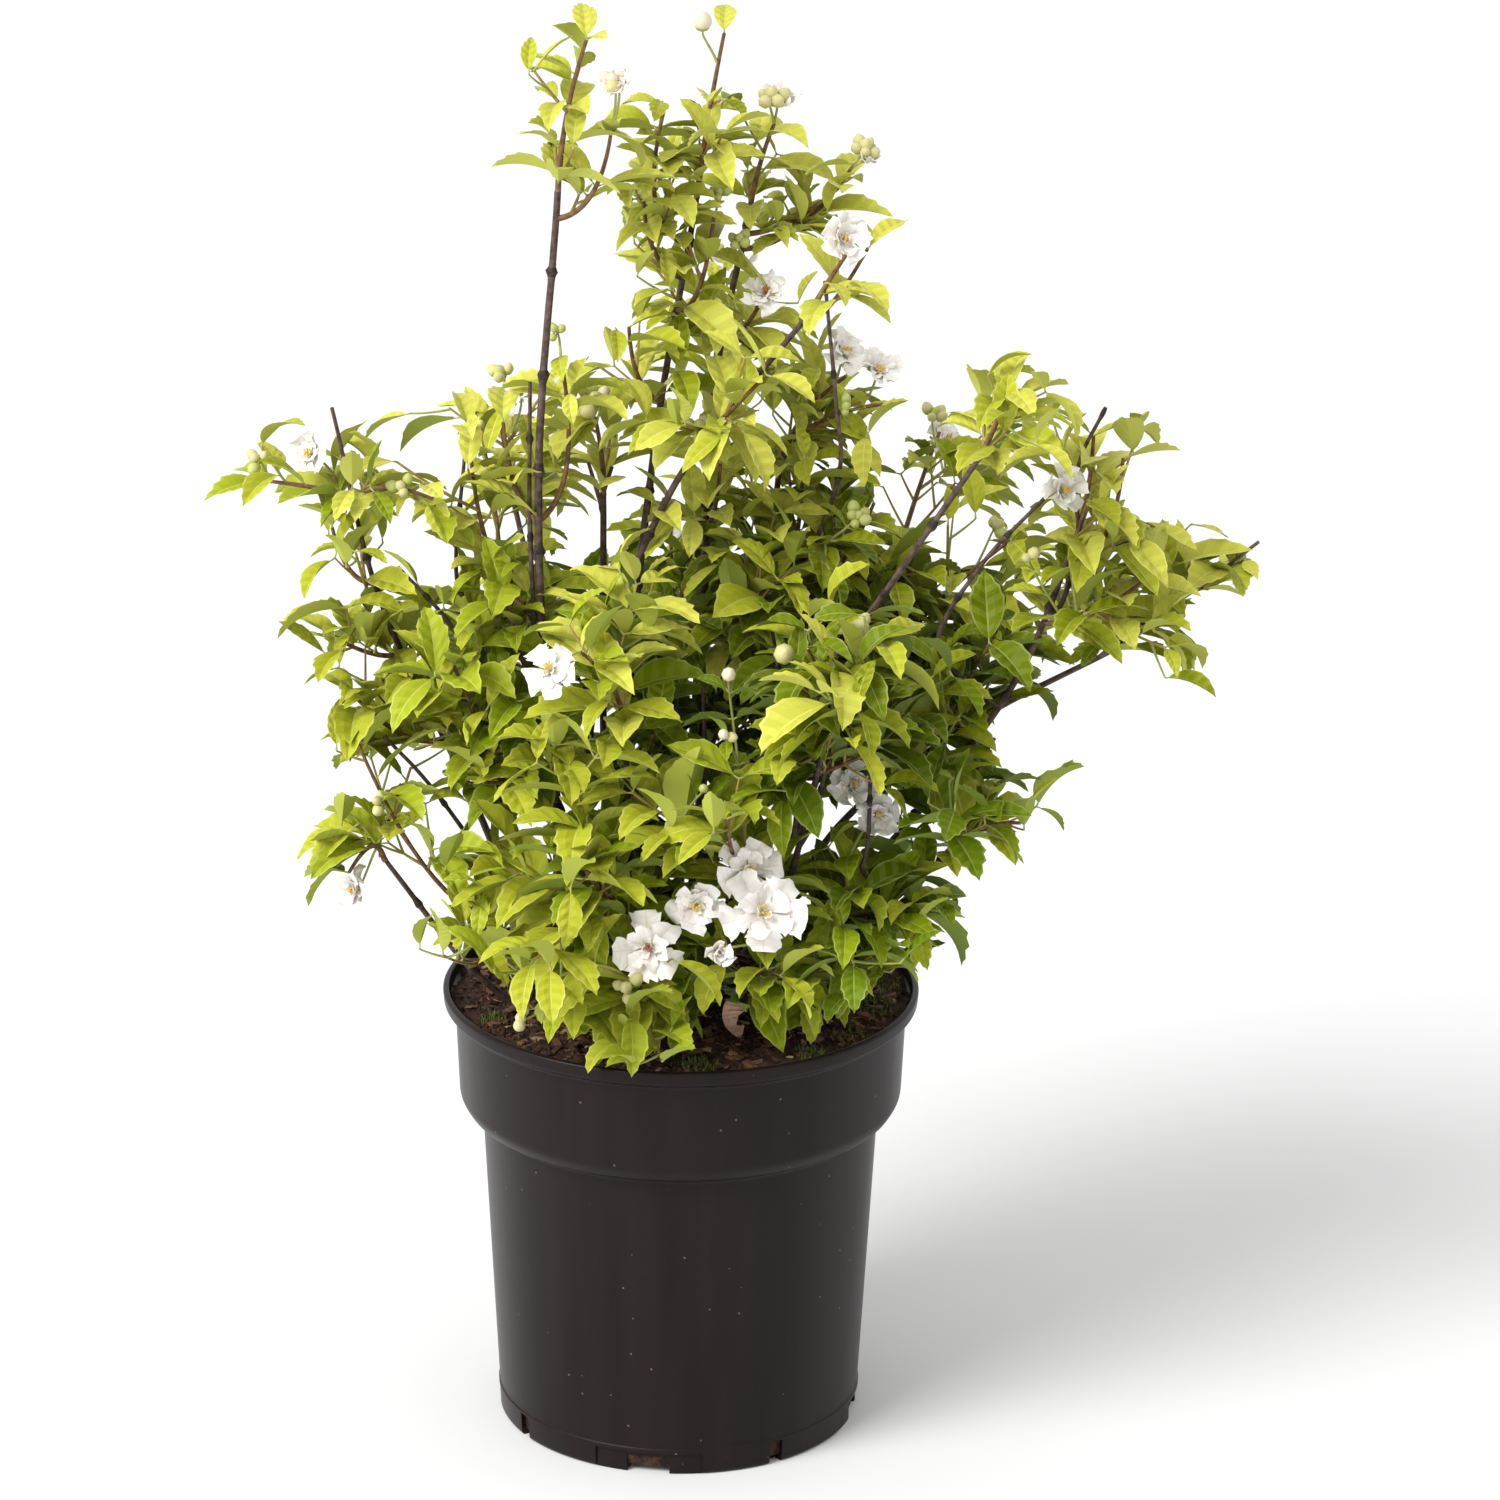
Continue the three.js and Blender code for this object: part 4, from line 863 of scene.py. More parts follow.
def blade_faces():
    """Triangles of a blade and their marks: its upper side in bands, closed by a keeled underside."""
    across = len(COLUMNS)
    root, point, keel = ROWS * across, ROWS * across + 1, ROWS * across + 2
    faces, marks = [], []
    for c, mark in enumerate(BAND_MARKS):
        for r in range(ROWS - 1):
            a = r * across + c
            faces += [(a, a + 1, a + across + 1), (a, a + across + 1, a + across)]
            # Every other row takes the lit finish and the rest the shaded one: painted light and shade across the
            # quilt.
            marks += [QUILT_LIT if mark == QUILT_SHADED and r % 2 else mark] * 2
        last = (ROWS - 1) * across + c
        faces += [(root, c + 1, c), (last, last + 1, point)]
        marks += [mark, mark]
    for r in range(ROWS - 1):
        left, right, mid = r * across, r * across + across - 1, keel + r
        faces += [(left, left + across, mid + 1), (left, mid + 1, mid)]
        faces += [(mid, mid + 1, right + across), (mid, right + across, right)]
    last = ROWS - 1
    faces += [(root, 0, keel), (root, keel, across - 1)]
    faces += [(last * across, point, keel + last), (keel + last, point, last * across + across - 1)]
    return np.array(faces), np.array(marks + [UNDERSIDE] * (len(faces) - len(marks)))


BLADE_FACES, BLADE_MARKS = blade_faces()
ROW_SHARES = np.concatenate([[0], ROW_PLACES, [1]])


def blade(root, way, upward, length, width, outline, droop=0.5, fold=0.3, teeth=None, wave=0.04, turn=0.0,
          thickness=0.4 * MM, quilt=0.25 * MM, slant=0.5):
    """Corners of a blade that leaves its root along "way" with its upper side towards "upward"."""
    root, way, upward = np.array(root), np.array(way), np.array(upward)
    across = np.cross(way, upward)
    angles = droop * ROW_SHARES ** 1.3
    steps = np.diff(ROW_SHARES)[:, None] * length
    middles = (angles[1:] + angles[:-1])[:, None] / 2
    line = np.vstack([[root], root + np.cumsum(steps * (way * np.cos(middles) - upward * np.sin(middles)), 0)])
    ups = upward * np.cos(angles)[:, None] + way * np.sin(angles)[:, None]
    alongs = way * np.cos(angles)[:, None] - upward * np.sin(angles)[:, None]
    twist = turn * ROW_SHARES[:, None]
    sides = across * np.cos(twist) + ups * np.sin(twist)
    ups = ups * np.cos(twist) - across * np.sin(twist)
    toothed = outline if teeth is None else outline * (1 + teeth)
    half = toothed * width / 2
    spread = np.abs(COLUMNS)
    rise = half[:, None] * (fold * spread + 0.32 * spread * (1 - spread))
    rise += wave * width * np.sin(7 * ROW_PLACES + turn * 9)[:, None] * COLUMNS * spread
    veins = np.where(np.arange(ROWS) % 2 == 0, 1, -1)[:, None] * quilt
    rise += veins * np.clip(4 * spread * (1 - spread), 0, 1) * (half / half.max())[:, None]
    grid = line[1:-1, None, :] + sides[1:-1, None, :] * (half[:, None] * COLUMNS)[..., None]
    grid = grid + ups[1:-1, None, :] * rise[..., None]
    forward = slant * half[:, None] * spread
    if teeth is not None:
        forward = forward + np.clip(teeth, 0, 1)[:, None] * length * 0.35 * np.clip(spread - 0.7, 0, 1) / 0.3
    grid = grid + alongs[1:-1, None, :] * forward[..., None]
    keel = line[1:-1] - ups[1:-1] * thickness
    return np.vstack([grid.reshape(-1, 3), line[:1], line[-1:], keel])


def plain(name, colour, roughness, relief_scale, relief_height, sheen=0.0, specular=0.3):
    """A living surface of one plain colour with a fine relief of cells and a roughness that wanders."""
    finish = bpy.data.materials.new(name)
    finish.use_nodes = True
    nodes, links = finish.node_tree.nodes, finish.node_tree.links
    shader = nodes["Principled BSDF"]
    shader.inputs["Base Color"].default_value = (*colour, 1)
    shader.inputs["Specular IOR Level"].default_value = specular
    shader.inputs["Sheen Weight"].default_value = sheen
    place = nodes.new("ShaderNodeTexCoord")
    cells = nodes.new("ShaderNodeTexNoise")
    cells.inputs["Scale"].default_value = relief_scale
    cells.inputs["Detail"].default_value = 4
    gloss = nodes.new("ShaderNodeMapRange")
    gloss.inputs["To Min"].default_value = roughness - 0.1
    gloss.inputs["To Max"].default_value = roughness + 0.1
    bump = nodes.new("ShaderNodeBump")
    bump.inputs["Strength"].default_value = 0.4
    bump.inputs["Distance"].default_value = relief_height
    links.new(place.outputs["Object"], cells.inputs["Vector"])
    links.new(cells.outputs["Fac"], gloss.inputs["Value"])
    links.new(gloss.outputs["Result"], shader.inputs["Roughness"])
    links.new(cells.outputs["Fac"], bump.inputs["Height"])
    links.new(bump.outputs["Normal"], shader.inputs["Normal"])
    return finish


def facing(place, rise):
    """Blooms look outward and turn a little to the light."""
    outward = place - CROWN_MIDDLE
    outward.z = 0.25 * outward.z + rise * outward.xy.length
    return (outward.normalized() + LIGHT_WAY).normalized()


chance = np.random.default_rng(77)
petals, stamens, buds, stalks = Bunch(), Bunch(), Bunch(), Bunch()
windows, sight_lines = [], []
for place, width, *_ in BLOOMS:
    place, radius = Vector(place) * MM, width / 2 * MM + 2 * MM
    clear_way = facing(place, 0.25) if place.y > 55 * MM else LIGHT_WAY.normalized()
    windows.append((place, radius))
    sight_lines += [(place + clear_way * WINDOW_DEPTH * share, radius) for share in np.linspace(0.15, 1, 8)]
windows += sight_lines

# A side twig that would cross in front of a bloom is pruned.
for twig in [t for t in twigs if t.order == 1]:
    if any((point - place).length < radius for point in twig.route[1:] for place, radius in sight_lines):
        twigs.remove(twig)

twig_spots = [(twig, share) for twig in twigs for share in np.linspace(0.3, 1, 8)]
spot_tree = kdtree.KDTree(len(twig_spots))
for number, (twig, share) in enumerate(twig_spots):
    spot_tree.insert(twig.point(share), number)
spot_tree.balance()


def stalk_to(place, face):
    """A green stalk from the nearest twig to the back of a bloom or a knot of buds."""
    nearest = spot_tree.find(place - face * 14 * MM, filter=lambda number: (
        twig_spots[number][0].point(twig_spots[number][1]) - place).dot(face) < -4 * MM)
    twig, share = twig_spots[nearest[1]]
    foot, way = twig.point(share), twig.way(share)
    twig.bear(share)
    reach = (place - foot).length
    print("reach", [round(v * 1000) for v in place], round(reach * 1000))
    route = []
    for t in np.linspace(0, 1, 8):
        start = foot + way * reach * 0.4 * t
        finish = place - face * reach * 0.45 * (1 - t)
        route.append(start.lerp(finish, t * t * (3 - 2 * t)))
    stalks.add(*tube(route, np.linspace(1.5, 1, 8) * STALK_RADIUS, 6))
    if reach > 16 * MM:
        twigs.append(Twig(twig.shoot, route[:6], (STALK_RADIUS, STALK_RADIUS), 0.3, 3))
    return route[-1]


def across_from(face, turn):
    """The direction square to "face" that lies at a turn about it."""
    level = face.cross(UP).normalized()
    return level * math.cos(turn) + level.cross(face) * math.sin(turn)


for place, width, openness, heart in BLOOMS:
    place = Vector(place) * MM
    width = width * MM
    face = (facing(place, 0.25) + Vector(chance.normal(0, 0.12, 3))).normalized()
    centre = stalk_to(place - face * width * 0.12, face)
    stalks.add(*tube([centre - face * 2.5 * MM, centre - face * MM, centre + face * MM],
                     np.array((0.6, 2, 2.3)) * MM * width / (25 * MM), 8))
    first_turn = chance.uniform(0, 2 * math.pi)
    plump = chance.uniform(*PLUMPNESS)
    for ring, count in enumerate(PETAL_COUNTS):
        for k in range(count):
            turn = first_turn + (k + ring * 0.5) * 2 * math.pi / count + chance.normal(0, 0.12)
            side = across_from(face, turn)
            opening = PETAL_OPENINGS[ring] * openness + chance.normal(0, 7)
            way = opened_from(face, side, opening).normalized()
            upward = (face - way * face.dot(way)) if opening > 12 else side * -1
            upward = (upward - way * upward.dot(way)).normalized()
            petals.add(blade(
                centre + side * (3 - ring) * 0.5 * MM, way, upward,
                width * PETAL_LENGTHS[ring] * chance.uniform(0.9, 1.1),
                width * PETAL_WIDTHS[ring] * plump * chance.uniform(0.9, 1.12), PETAL_OUTLINE,
                droop=chance.uniform(-0.2, 0.5), fold=chance.uniform(0.05, 0.3),
                teeth=chance.normal(0, 0.12, ROWS),
                wave=chance.uniform(0.08, 0.24), turn=chance.normal(0, 0.4), quilt=0.12 * MM, slant=0.2,
            ), BLADE_FACES, BLADE_MARKS)
    for _ in range(STAMEN_COUNT if openness > 0.6 else 0):
        way = opened_from(face, across_from(face, chance.uniform(0, 2 * math.pi)), chance.uniform(3, 34))
        tip = centre + way * width * STAMEN_LENGTH * chance.uniform(0.8, 1.3) + face * MM
        stamens.add(*tube([centre, centre.lerp(tip, 0.6), tip], [0.14 * MM] * 3, 3), 2 * heart)
        stamens.add(LUMP * (0.5 * MM, 0.5 * MM, 0.8 * MM) + np.array(tip), LUMP_FACES, 1 + heart)

BUD_PROFILE = ((0, 0.3), (0.16, 0.78), (0.4, 1), (0.62, 0.97), (0.82, 0.66), (0.97, 0.2))
BUD_CALYX_RINGS = 2
BUD_SIDES = 8
for place, count, width, ripeness in BUD_KNOTS:
    place = Vector(place) * MM
    face = facing(place, 0.7)
    end = stalk_to(place - face * 5 * MM, face)
    first_turn = chance.uniform(0, 2 * math.pi)
    for k in range(count):
        spread = 0 if k == 0 else chance.uniform(32, 60)
        way = opened_from(face, across_from(face, first_turn + k * 2 * math.pi / max(1, count - 1)), spread)
        size = width * MM * chance.uniform(0.72, 1.08)
        foot = end + way * chance.uniform(1.5, 3.5) * MM
        stalks.add(*tube([end, end.lerp(foot, 0.6), foot], [0.45 * MM] * 3, 5))
        route = [foot + way * size * 1.25 * share for share, _ in BUD_PROFILE]
        shape = tube(route, [size / 2 * radius for _, radius in BUD_PROFILE], BUD_SIDES)
        ripe = 1 + int(min(2, ripeness * 2.3 * chance.uniform(0.7, 1.2)))
        bands = [0] * (2 * BUD_SIDES * BUD_CALYX_RINGS)
        bands += [ripe] * (2 * BUD_SIDES * (len(BUD_PROFILE) - 1 - BUD_CALYX_RINGS))
        buds.add(*shape, np.array(bands + [0] * BUD_SIDES + [ripe] * BUD_SIDES))
    windows.append((place, width * MM * 1.2))
    windows.append((place + face * 16 * MM, width * MM))

PETAL_WHITE = (0.83, 0.79, 0.75)
PETAL_CREAM = (0.78, 0.71, 0.6)
# A petal's rows take the first white and the lighter second white in turn: painted shade and painted light of its
# quilting, as on the leaves.
bloom_petals = petals.joined("bloom_petals", [
    plain("petal_white", PETAL_WHITE, 0.55, 900, 0.1 * MM, 0.1),
    plain("petal_white_quilt_lit", (0.86, 0.83, 0.8), 0.55, 900, 0.1 * MM, 0.1),
    plain("petal_edge", (0.88, 0.86, 0.83), 0.55, 900, 0.1 * MM, 0.1),
    plain("petal_vein", PETAL_CREAM, 0.55, 900, 0.1 * MM, 0.1),
    plain("petal_back", (0.77, 0.73, 0.64), 0.6, 900, 0.1 * MM, 0.1),
])
bloom_stamens = stamens.joined("bloom_stamens", [
    plain("filament_cream", (0.85, 0.82, 0.55), 0.6, 1200, 0.05 * MM),
    plain("anther_yellow", (0.75, 0.5, 0.1), 0.7, 1200, 0.1 * MM),
    plain("heart_red_brown", (0.42, 0.15, 0.07), 0.7, 1200, 0.1 * MM),
])
flower_buds = buds.joined("flower_buds", [
    plain("bud_calyx", (0.38, 0.44, 0.11), 0.6, 700, 0.1 * MM),
    plain("bud_green", (0.44, 0.47, 0.14), 0.55, 700, 0.1 * MM),
    plain("bud_cream", (0.56, 0.52, 0.24), 0.55, 700, 0.1 * MM),
    plain("bud_white", (0.72, 0.64, 0.47), 0.55, 700, 0.1 * MM),
])
for piece in (bloom_petals, bloom_stamens, flower_buds):
    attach(piece, "root")

# A withered leaf lies curled up on the compost. Its browns are painted lighter than a dry leaf's: painted light against
# the shade it lies in.
FALLEN_PLACE = Vector((30, -64, 219)) * MM
FALLEN_WAY = Vector((-0.75, -0.6, 0.28)).normalized()
fallen_leaf = smooth_mesh(
    "fallen_leaf",
    blade(FALLEN_PLACE, FALLEN_WAY, across_from(FALLEN_WAY, math.pi / 2), 26 * MM, 17 * MM, PETAL_OUTLINE,
          droop=-1.9, fold=0.9, teeth=grit.normal(0, 0.07, ROWS), wave=0.2, turn=0.5, quilt=0.5 * MM),
    BLADE_FACES, [
        mottled("withered_brown_painted_light", (0.7, 0.4, 0.27), (0.9, 0.62, 0.47), 300, 0.75, 0.3 * MM),
        mottled("withered_vein_painted_light", (0.75, 0.5, 0.38), (0.92, 0.7, 0.56), 300, 0.75, 0.2 * MM),
    ], np.where(BLADE_MARKS == MIDRIB, 1, 0), 30)
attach(fallen_leaf, "root")

# ---------------------------------------------------------------- the leaves
# Opposite pairs of pointed oval leaves with a few coarse teeth. They are golden green, paler along
# the edge and underneath. Light and shade are painted into each spray's tint, golden where lit at the
# top and greener low and inside, and into the rows of each blade, darker in the quilt's troughs. Each
# folds up along its midrib and arches down. A leaf that would cross a limb, the pot, the compost or
# another leaf is left out.
LEAF_SPACINGS = (13 * MM, 18 * MM) # low down and at the crown's top
LEAF_LENGTH = 40.7 * MM
LEAF_LENGTHS = (0.78, 1.18)
LEAF_SHAPES = (0.37, 0.5)
ORDER_SIZES = (1, 0.97, 0.86, 0.6)
TOP_SIZE = 0.8                    # leaves at the crown's top are so much smaller
TOP_HEIGHTS = (400 * MM, 600 * MM)
LEAF_OPENING = 58
LEAF_OPENINGS = 30
LEAF_SAGS = (-0.3, 0.1)
LEAF_LEVELLING = 0.7              # leaves turn towards the level, upper side up
LEAF_DROOPS = (0.35, 1.25)
LEAF_FOLDS = (0.15, 0.65)
LEAF_QUILTS = (0.3 * MM, 0.65 * MM)
VEIN_CREASE = 9
LEAF_ROLL = 0.8
STALK_LENGTHS = (2 * MM, 4 * MM)
TIP_SIZE = 0.78
ATTEMPTS = 6
CELL = 5 * MM                     # leaves keep about so far apart
CROWDING = 2
LIMB_CLEARANCE = 3.5 * MM
HANG_HEIGHT = 215 * MM            # leaves hang no lower at the rim, and less low further out
HANG_RISE = 0.35
BACK_REACH = 200 * MM
TINTS = {
    "deep": (0.036, 0.06, 0.001),
    "green": (0.082, 0.123, 0.001),
    "mid": (0.142, 0.192, 0.002),
    "fresh": (0.235, 0.27, 0.004),
    "lime": (0.388, 0.41, 0.024),
    "golden": (0.515, 0.515, 0.068),
    "leafy": (0.126, 0.192, 0.002),
    "apple": (0.206, 0.27, 0.003),
    "lemon": (0.318, 0.37, 0.015),
}
WARM_TINTS = ("deep", "green", "mid", "fresh", "lime", "golden")
COOL_TINTS = ("deep", "green", "leafy", "apple", "lemon", "lime")
COOL_HEIGHT = 0.4
EDGE_YELLOW = (0.68, 0.65, 0.26)
# Painted shade in the quilt's troughs: the shaded rows are blended this far towards this dark green.
QUILT_SHADE_COLOUR = (0.01, 0.03, 0.001)
QUILT_SHADE_DEPTH = 0.1
UNDER_PALE = (0.36, 0.42, 0.15)
# Painted light and shade in the spray tints: lighter above this height, to the left, to the front and further out, and
# darker round the painted shade's middle.
TINT_HEIGHT = 0.39
TINT_RADII = (0.08, 0.12)
PAINTED_SHADE_MIDDLE = Vector((98, -55, 388)) * MM
PAINTED_SHADE_RADIUS = 85 * MM
BRIGHTEST = 1.45

# Openings through the crown: the middle and half width of each where it passes the plane above the
# pot's middle. They fall away towards the back, and no leaf grows across them.
OPENINGS = (
    (-46, 595, 14), (-45, 567, 18), (-48, 540, 9), (-73, 612, 11), (-36, 626, 8), (-80, 540, 10),
    (-124, 490, 13), (-111, 480, 8), (-119, 432, 11), (-129, 442, 8), (-189, 437, 16), (-159, 422, 9),
    (-150, 383, 9), (108, 472, 15), (113, 532, 12), (119, 515, 10), (67, 652, 12),
    (-12, 672, 11), (7, 672, 7), (27, 672, 7), (163, 344, 14), (218, 470, 14), (254, 406, 14),
    (215, 381, 10), (170, 294, 11), (147, 269, 9), (124, 223, 9), (141, 454, 9), (130, 449, 8),
    (-121, 269, 9), (-130, 286, 8), (43, 507, 8), (97, 502, 8), (-77, 589, 14), (-86, 497, 7),
    (223, 349, 18), (287, 407, 14), (-121, 225, 12), (-182, 383, 10), (-187, 342, 14), (-15, 694, 12),
    (-107, 536, 8), (-96, 546, 14), (114, 567, 18), (261, 466, 11), (204, 515, 7), (193, 316, 14),
    (98, 643, 11), (-86, 655, 14), (43, 581, 6), (58, 566, 6), (-160, 230, 14), (-84, 451, 7),
    (-128, 528, 11), (-214, 452, 8), (-83, 684, 11), (-77, 651, 10), (40, 687, 11), (258, 462, 10),
    (283, 457, 11), (286, 437, 10), (142, 541, 11), (170, 539, 10), (201, 517, 11), (-141, 233, 16),
    (-172, 363, 6), (-175, 324, 10), (191, 290, 10), (277, 417, 10), (-21, 677, 10), (-101, 463, 5),
    (-98, 216, 13), (-84, 207, 10), (104, 218, 10), (97, 206, 9), (22, 203, 9), (-102, 226, 11),
    (-142, 534, 14), (91, 667, 13), (128, 548, 9), (-196, 278, 14), (25, 204, 8),
    (-96, 205, 10), (92, 188, 12), (106, 202, 10), (88, 204, 8), (-76, 196, 7),
    (-149, 323, 9), (-123, 332, 9), (-111, 303, 8), (-140, 254, 15), (-184, 300, 8), (21, 192, 9),
    (-219, 499, 14), (238, 476, 10),
)
OPENING_FALL = 0.351

limb_tree = kdtree.KDTree(len(limb_points))
for number, point in enumerate(limb_points):
    limb_tree.insert(point, number)
limb_tree.balance()
opening_table = np.array(OPENINGS) * MM
taken = {}
SAMPLES = [r * len(COLUMNS) + c for r in (1, 3, 5, 7, 9) for c in (0, 2, 5, 7)] + [ROWS * len(COLUMNS) + 1]


def cells_of(samples):
    return {tuple(cell) for cell in np.floor(samples / CELL).astype(int)}


def is_free(samples, shoot):
    """Whether a leaf stays in its shoot's space and clear of compost, pot, limbs and open blooms."""
    radii = np.hypot(samples[:, 0], samples[:, 1])
    if np.any((samples[:, 2] < POT_HEIGHT + 2 * MM) & (radii > SOIL_RADIUS - 2 * MM) & (radii < POT_RIM_RADIUS + 2 * MM)):
        return False
    hang = HANG_HEIGHT + HANG_RISE * (radii - POT_RIM_RADIUS)
    if np.any(samples[:, 1] > BACK_REACH):
        return False
    if np.any(samples[:, 2] < np.where(radii < POT_RIM_RADIUS, SOIL + 3 * MM, hang)):
        return False
    middle = Vector(samples.mean(0))
    route, room = spaces[shoot]
    if min((middle - point).length for point in route[::3] + route[-1:]) > room:
        return False
    for place, radius in windows:
        if np.any(np.linalg.norm(samples - np.array(place), axis=1) < radius):
            return False
    heights = samples[:, 2] + samples[:, 1] * OPENING_FALL
    across = samples[:, 0, None] - opening_table[:, 0]
    if np.any(np.hypot(across, heights[:, None] - opening_table[:, 1]) < opening_table[:, 2]):
        return False
    return all(limb_tree.find(sample)[2] > LIMB_CLEARANCE for sample in samples[4:])


def tint_at(place):
    """The tint of a spray, with light and shade painted in: golden where lit at the top and on the right, greener low
    and inside, and darker round the painted shade right of the middle.
    """
    height = place.z - TINT_HEIGHT
    light = 1.1 + height * (5.5 if height > 0 else 0.6) - place.x * 1.8 - place.y * 1.8
    light -= 0.62 * math.exp(-((place - PAINTED_SHADE_MIDDLE).length / PAINTED_SHADE_RADIUS) ** 2)
    light += (max(place.xy.length, TINT_RADII[0]) - TINT_RADII[1]) * 3.5
    variation = chance.normal(0, 0.95)
    rank = round(min(light, BRIGHTEST) * 3.6 + variation)
    is_cool = place.z + place.x * 0.5 + variation * 0.02 < COOL_HEIGHT
    return (COOL_TINTS if is_cool else WARM_TINTS)[int(np.clip(rank, 0, len(WARM_TINTS) - 1))]


leaves = {tint: Bunch() for tint in TINTS}
counts = {"placed": 0, "skipped": 0}


def add_leaf(twig, share, pair, hand, size, tint):
    """Grows one leaf from its joint, or leaves it out where it finds no room."""
    joint, way = twig.point(share), twig.way(share)
    for attempt in range(ATTEMPTS):
        side = pair_side(way, pair, hand, chance.random())
        along = opened_from(way, side, LEAF_OPENING + LEAF_OPENINGS * (chance.random() - 0.5))
        along.z = along.z * LEAF_LEVELLING - between(*LEAF_SAGS, chance.random())
        along.normalize()
        upward = (UP - along * along.z).normalized()
        upward.rotate(Matrix.Rotation(LEAF_ROLL * (chance.random() - 0.5), 3, along))
        length = LEAF_LENGTH * size * between(*LEAF_LENGTHS, chance.random()) * 0.95 ** attempt
        root = joint + along * between(*STALK_LENGTHS, chance.random()) * size
        corners = blade(
            root, along, upward, length, length * between(*LEAF_SHAPES, chance.random()),
            LEAF_OUTLINE, droop=between(*LEAF_DROOPS, chance.random()),
            fold=between(*LEAF_FOLDS, chance.random()), teeth=LEAF_TEETH * chance.uniform(0.4, 1.5),
            wave=chance.uniform(0, 0.07), turn=chance.normal(0, 0.3), quilt=between(*LEAF_QUILTS, chance.random()) * size,
        )
        samples = corners[SAMPLES]
        if not is_free(samples, twig.shoot):
            continue
        cells = cells_of(samples[4:])
        if sum(1 for cell in cells if taken.get(cell, joint) != joint) > CROWDING:
            continue
        for cell in cells:
            taken[cell] = joint
        leaves[tint].add(corners, BLADE_FACES, BLADE_MARKS)
        stalks.add(*tube([joint, root - along * 0.5 * MM, root + along * MM], [0.55 * MM, 0.42 * MM, 0.25 * MM], 5))
        counts["placed"] += 1
        twig.bear(share)
        return
    counts["skipped"] += 1


def nearness_to_top(place):
    return float(np.clip((place.z - TOP_HEIGHTS[0]) / (TOP_HEIGHTS[1] - TOP_HEIGHTS[0]), 0, 1))


def pair_count(twig):
    spacing = between(*LEAF_SPACINGS, nearness_to_top(twig.point(0.5)))
    return max(1, round(twig.length * (1 - twig.bare) / spacing))


for twig in list(twigs):
    if twig.order > 1:
        continue
    pairs = pair_count(twig)
    for pair in range(pairs):
        share = between(twig.bare, 1, (pair + 0.5) / pairs)
        for hand in (-1, 1):
            if chance.random() > between(*FINE_TWIGS, nearness_to_top(twig.point(share))):
                continue
            side = pair_side(twig.way(share), pair, hand, chance.random())
            way = opened_from(twig.way(share), side, TWIG_OPENING).normalized()
            length = between(*FINE_LENGTHS, chance.random())
            twigs.append(side_twig(twig, share, twig.point(share), way, length, FINE_RADII))

for twig in twigs:
    tint = tint_at(twig.point(0.8))
    pairs = pair_count(twig)
    for pair in range(pairs + 1):
        share = between(twig.bare, 1, pair / pairs)
        if twig.order > 1 and pair == 0:
            continue
        size = ORDER_SIZES[twig.order] * between(1, TOP_SIZE, nearness_to_top(twig.point(share))) * (TIP_SIZE if pair == pairs else 1)
        for hand in (-1, 1):
            add_leaf(twig, share, pair, hand, size, tint)
print("leaves", counts)


def blend_of(one, other, share):
    return tuple(between(a, b, share) for a, b in zip(one, other))


for tint, colour in TINTS.items():
    if leaves[tint].count == 0:
        continue
    # The shaded and lit rows paint the quilt's shade and light; the margin, midrib and underside are the leaf's own
    # paler colours.
    piece = leaves[tint].joined(f"leaves_{tint}", [
        plain(f"leaf_{tint}_quilt_shaded", blend_of(colour, QUILT_SHADE_COLOUR, QUILT_SHADE_DEPTH), 0.36, 700, 0.22 * MM, specular=0.08),
        plain(f"leaf_{tint}_quilt_lit", blend_of(colour, EDGE_YELLOW, 0.05), 0.36, 700, 0.22 * MM, specular=0.08),
        plain(f"leaf_{tint}_margin", blend_of(colour, EDGE_YELLOW, 0.22), 0.42, 700, 0.12 * MM, specular=0.2),
        plain(f"leaf_{tint}_midrib", blend_of(colour, EDGE_YELLOW, 0.25), 0.42, 900, 0.1 * MM, specular=0.2),
        plain(f"leaf_{tint}_under", blend_of(colour, UNDER_PALE, 0.35), 0.65, 700, 0.15 * MM, specular=0.08),
    ], VEIN_CREASE)
    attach(piece, "root")

# ---------------------------------------------------------------- the twigs' bark
# The shoots' own twigs are orange brown and woody towards their stem, the finer ones are green.
woody, young = Bunch(), Bunch()
for twig in twigs:
    if twig.order == 3 or twig.borne == 0:
        continue
    radii = np.linspace(*twig.radii, len(twig.route))
    if twig.order == 0:
        woody.add(*tube(twig.borne_route(), radii, 8))
    else:
        young.add(*tube(twig.borne_route(), radii, 6), twig.order - 1)
shoot_twigs = woody.joined("shoot_twigs", [
    mottled("twig_orange_brown", (0.1, 0.05, 0.025), (0.24, 0.13, 0.05), 320, 0.6, 0.15 * MM),
])
side_twigs = young.joined("side_twigs", [
    mottled("twig_tan", (0.26, 0.17, 0.05), (0.36, 0.27, 0.08), 320, 0.6, 0.1 * MM),
    mottled("twig_green", (0.24, 0.28, 0.06), (0.36, 0.38, 0.1), 320, 0.6, 0.1 * MM),
])
leaf_stalks = stalks.joined("leaf_and_flower_stalks", [
    mottled("stalk_green", (0.3, 0.33, 0.08), (0.42, 0.44, 0.14), 320, 0.6, 0.1 * MM),
])
for piece in (shoot_twigs, side_twigs, leaf_stalks):
    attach(piece, "root")
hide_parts(*[f"shoot_{stem}_{name}" for stem, name, *_ in SHOOTS])

# ---------------------------------------------------------------- the studio
# A pale floor without an edge, soft light from a large lamp high on the left and a smaller lamp on the left too.
CAMERA_AIM = Vector((32.19, 0, 339.5)) * MM
CAMERA_DISTANCE = 3
CAMERA_DOWN = 19.3386
CAMERA_ROLL = 0.566
CAMERA_LENS = 150.98
FLOOR_SIZE = 60

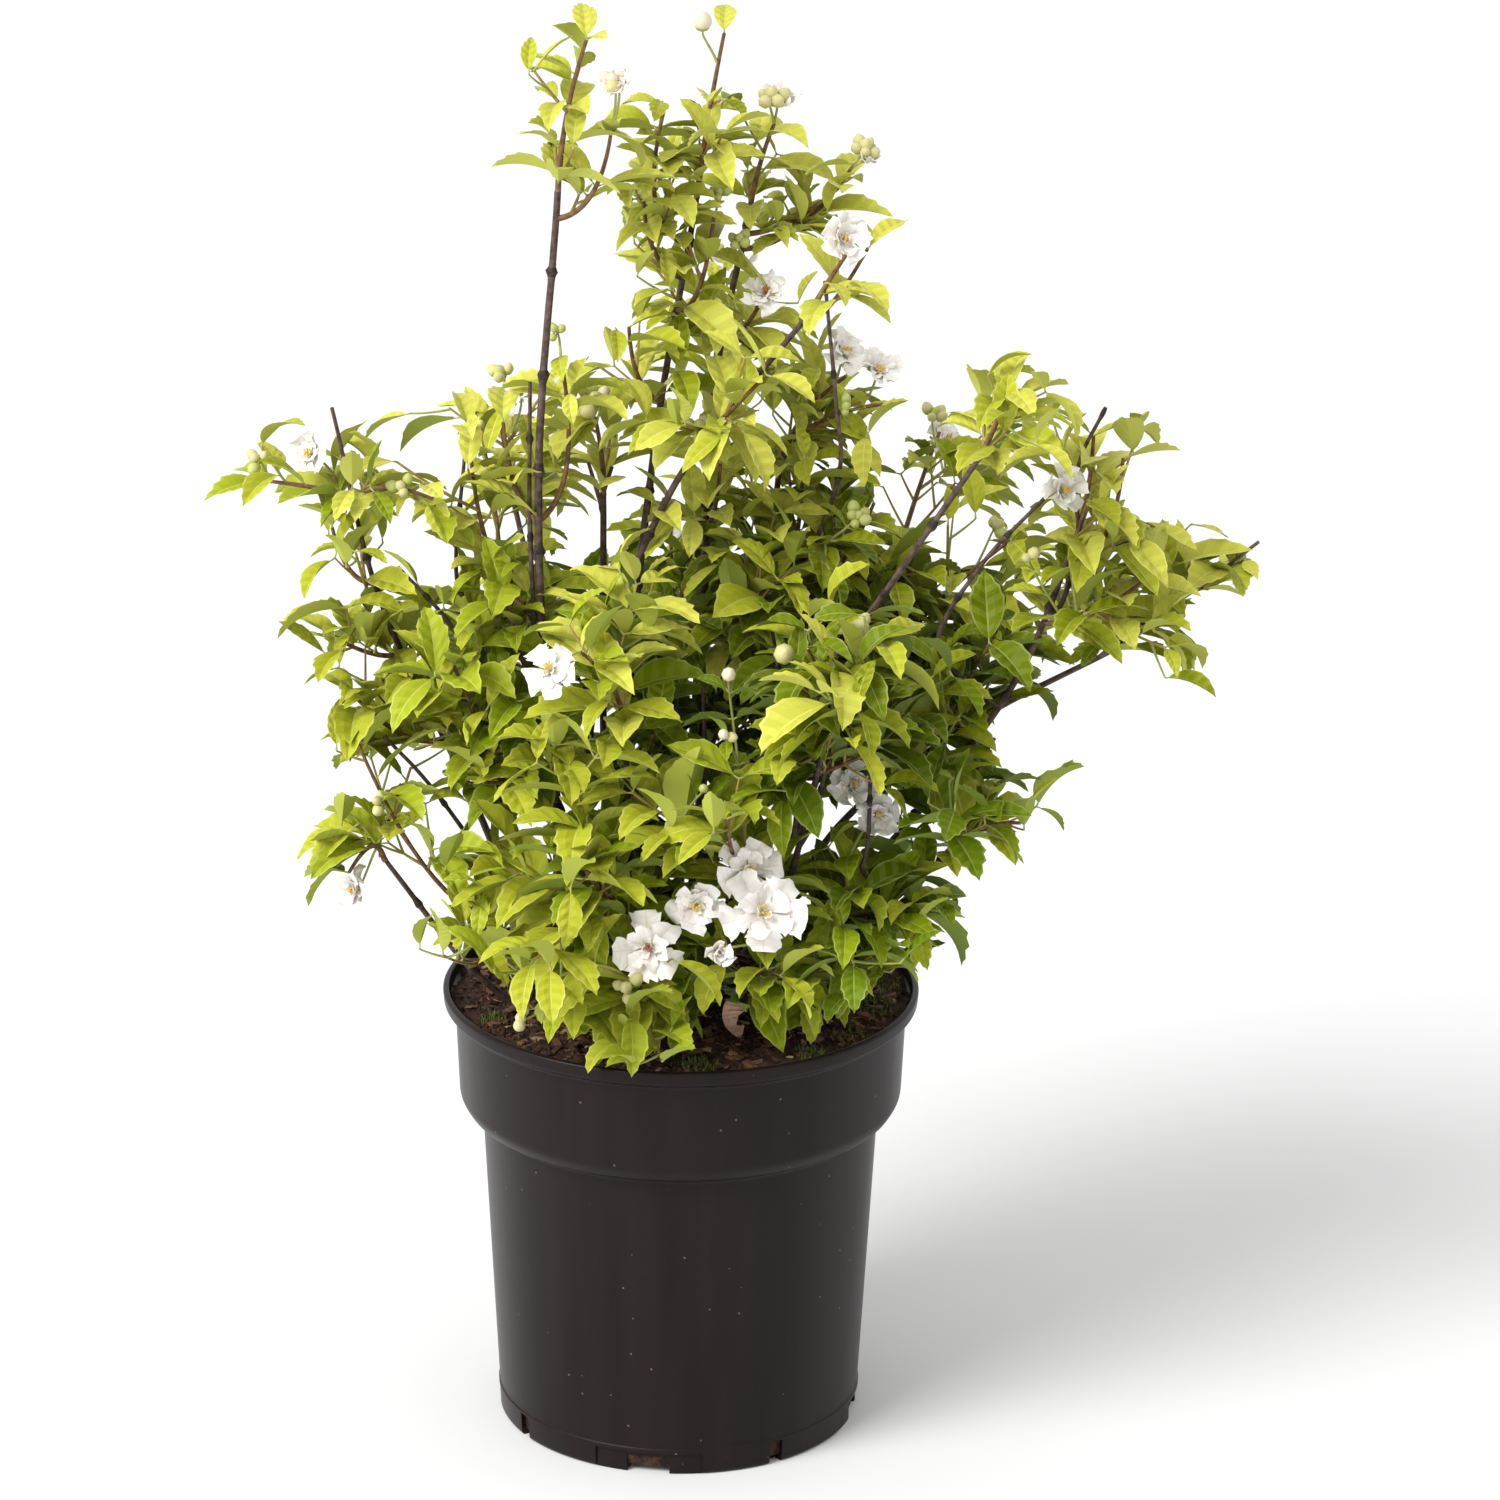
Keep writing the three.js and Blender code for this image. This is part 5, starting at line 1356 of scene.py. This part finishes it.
floor_material = bpy.data.materials.new("floor_pale")
floor_material.use_nodes = True
floor_shader = floor_material.node_tree.nodes["Principled BSDF"]
floor_shader.inputs["Base Color"].default_value = (0.72, 0.72, 0.72, 1)
floor_shader.inputs["Roughness"].default_value = 0.9
floor_shader.inputs["Specular IOR Level"].default_value = 0.1
half = FLOOR_SIZE / 2
floor = smooth_mesh("floor", [(-half, -half, 0), (half, -half, 0), (half, half, 0), (-half, half, 0)],
                    [(0, 1, 2), (0, 2, 3)], [floor_material])

world = bpy.data.worlds.new("studio")
world.use_nodes = True
world.node_tree.nodes["Background"].inputs["Color"].default_value = (1, 1, 1, 1)
world.node_tree.nodes["Background"].inputs["Strength"].default_value = 0.95
bpy.context.scene.world = world
bpy.context.scene.view_settings.view_transform = "Standard"


def lamp(name, place, aim, size, power):
    """A square soft lamp that looks at "aim"."""
    light = bpy.data.lights.new(name, "AREA")
    light.size = size
    light.energy = power
    holder = bpy.data.objects.new(name, light)
    holder.location = place
    holder.rotation_euler = (Vector(aim) - Vector(place)).to_track_quat("-Z", "Y").to_euler()
    bpy.context.scene.collection.objects.link(holder)


sun = bpy.data.objects.new("key_light", bpy.data.lights.new("key_light", "SUN"))
sun.data.energy = 2.3
sun.data.angle = math.radians(28)
sun.rotation_euler = Vector((0.55, 0.5, -0.72)).to_track_quat("-Z", "Y").to_euler()
bpy.context.scene.collection.objects.link(sun)
lamp("side_lamp", (-1.5, -0.9, 1.0), (0, 0, 0.3), 0.7, 14)

camera = bpy.data.objects.new("camera", bpy.data.cameras.new("camera"))
camera.data.lens = CAMERA_LENS
camera.data.sensor_width = 36
camera.data.clip_end = 200
down = math.radians(CAMERA_DOWN)
camera.location = CAMERA_AIM + Vector((0, -math.cos(down), math.sin(down))) * CAMERA_DISTANCE
turn = Matrix.Rotation(math.pi / 2 - down, 4, "X") @ Matrix.Rotation(math.radians(CAMERA_ROLL), 4, "Z")
camera.rotation_euler = turn.to_euler()
bpy.context.scene.collection.objects.link(camera)
bpy.context.scene.camera = camera
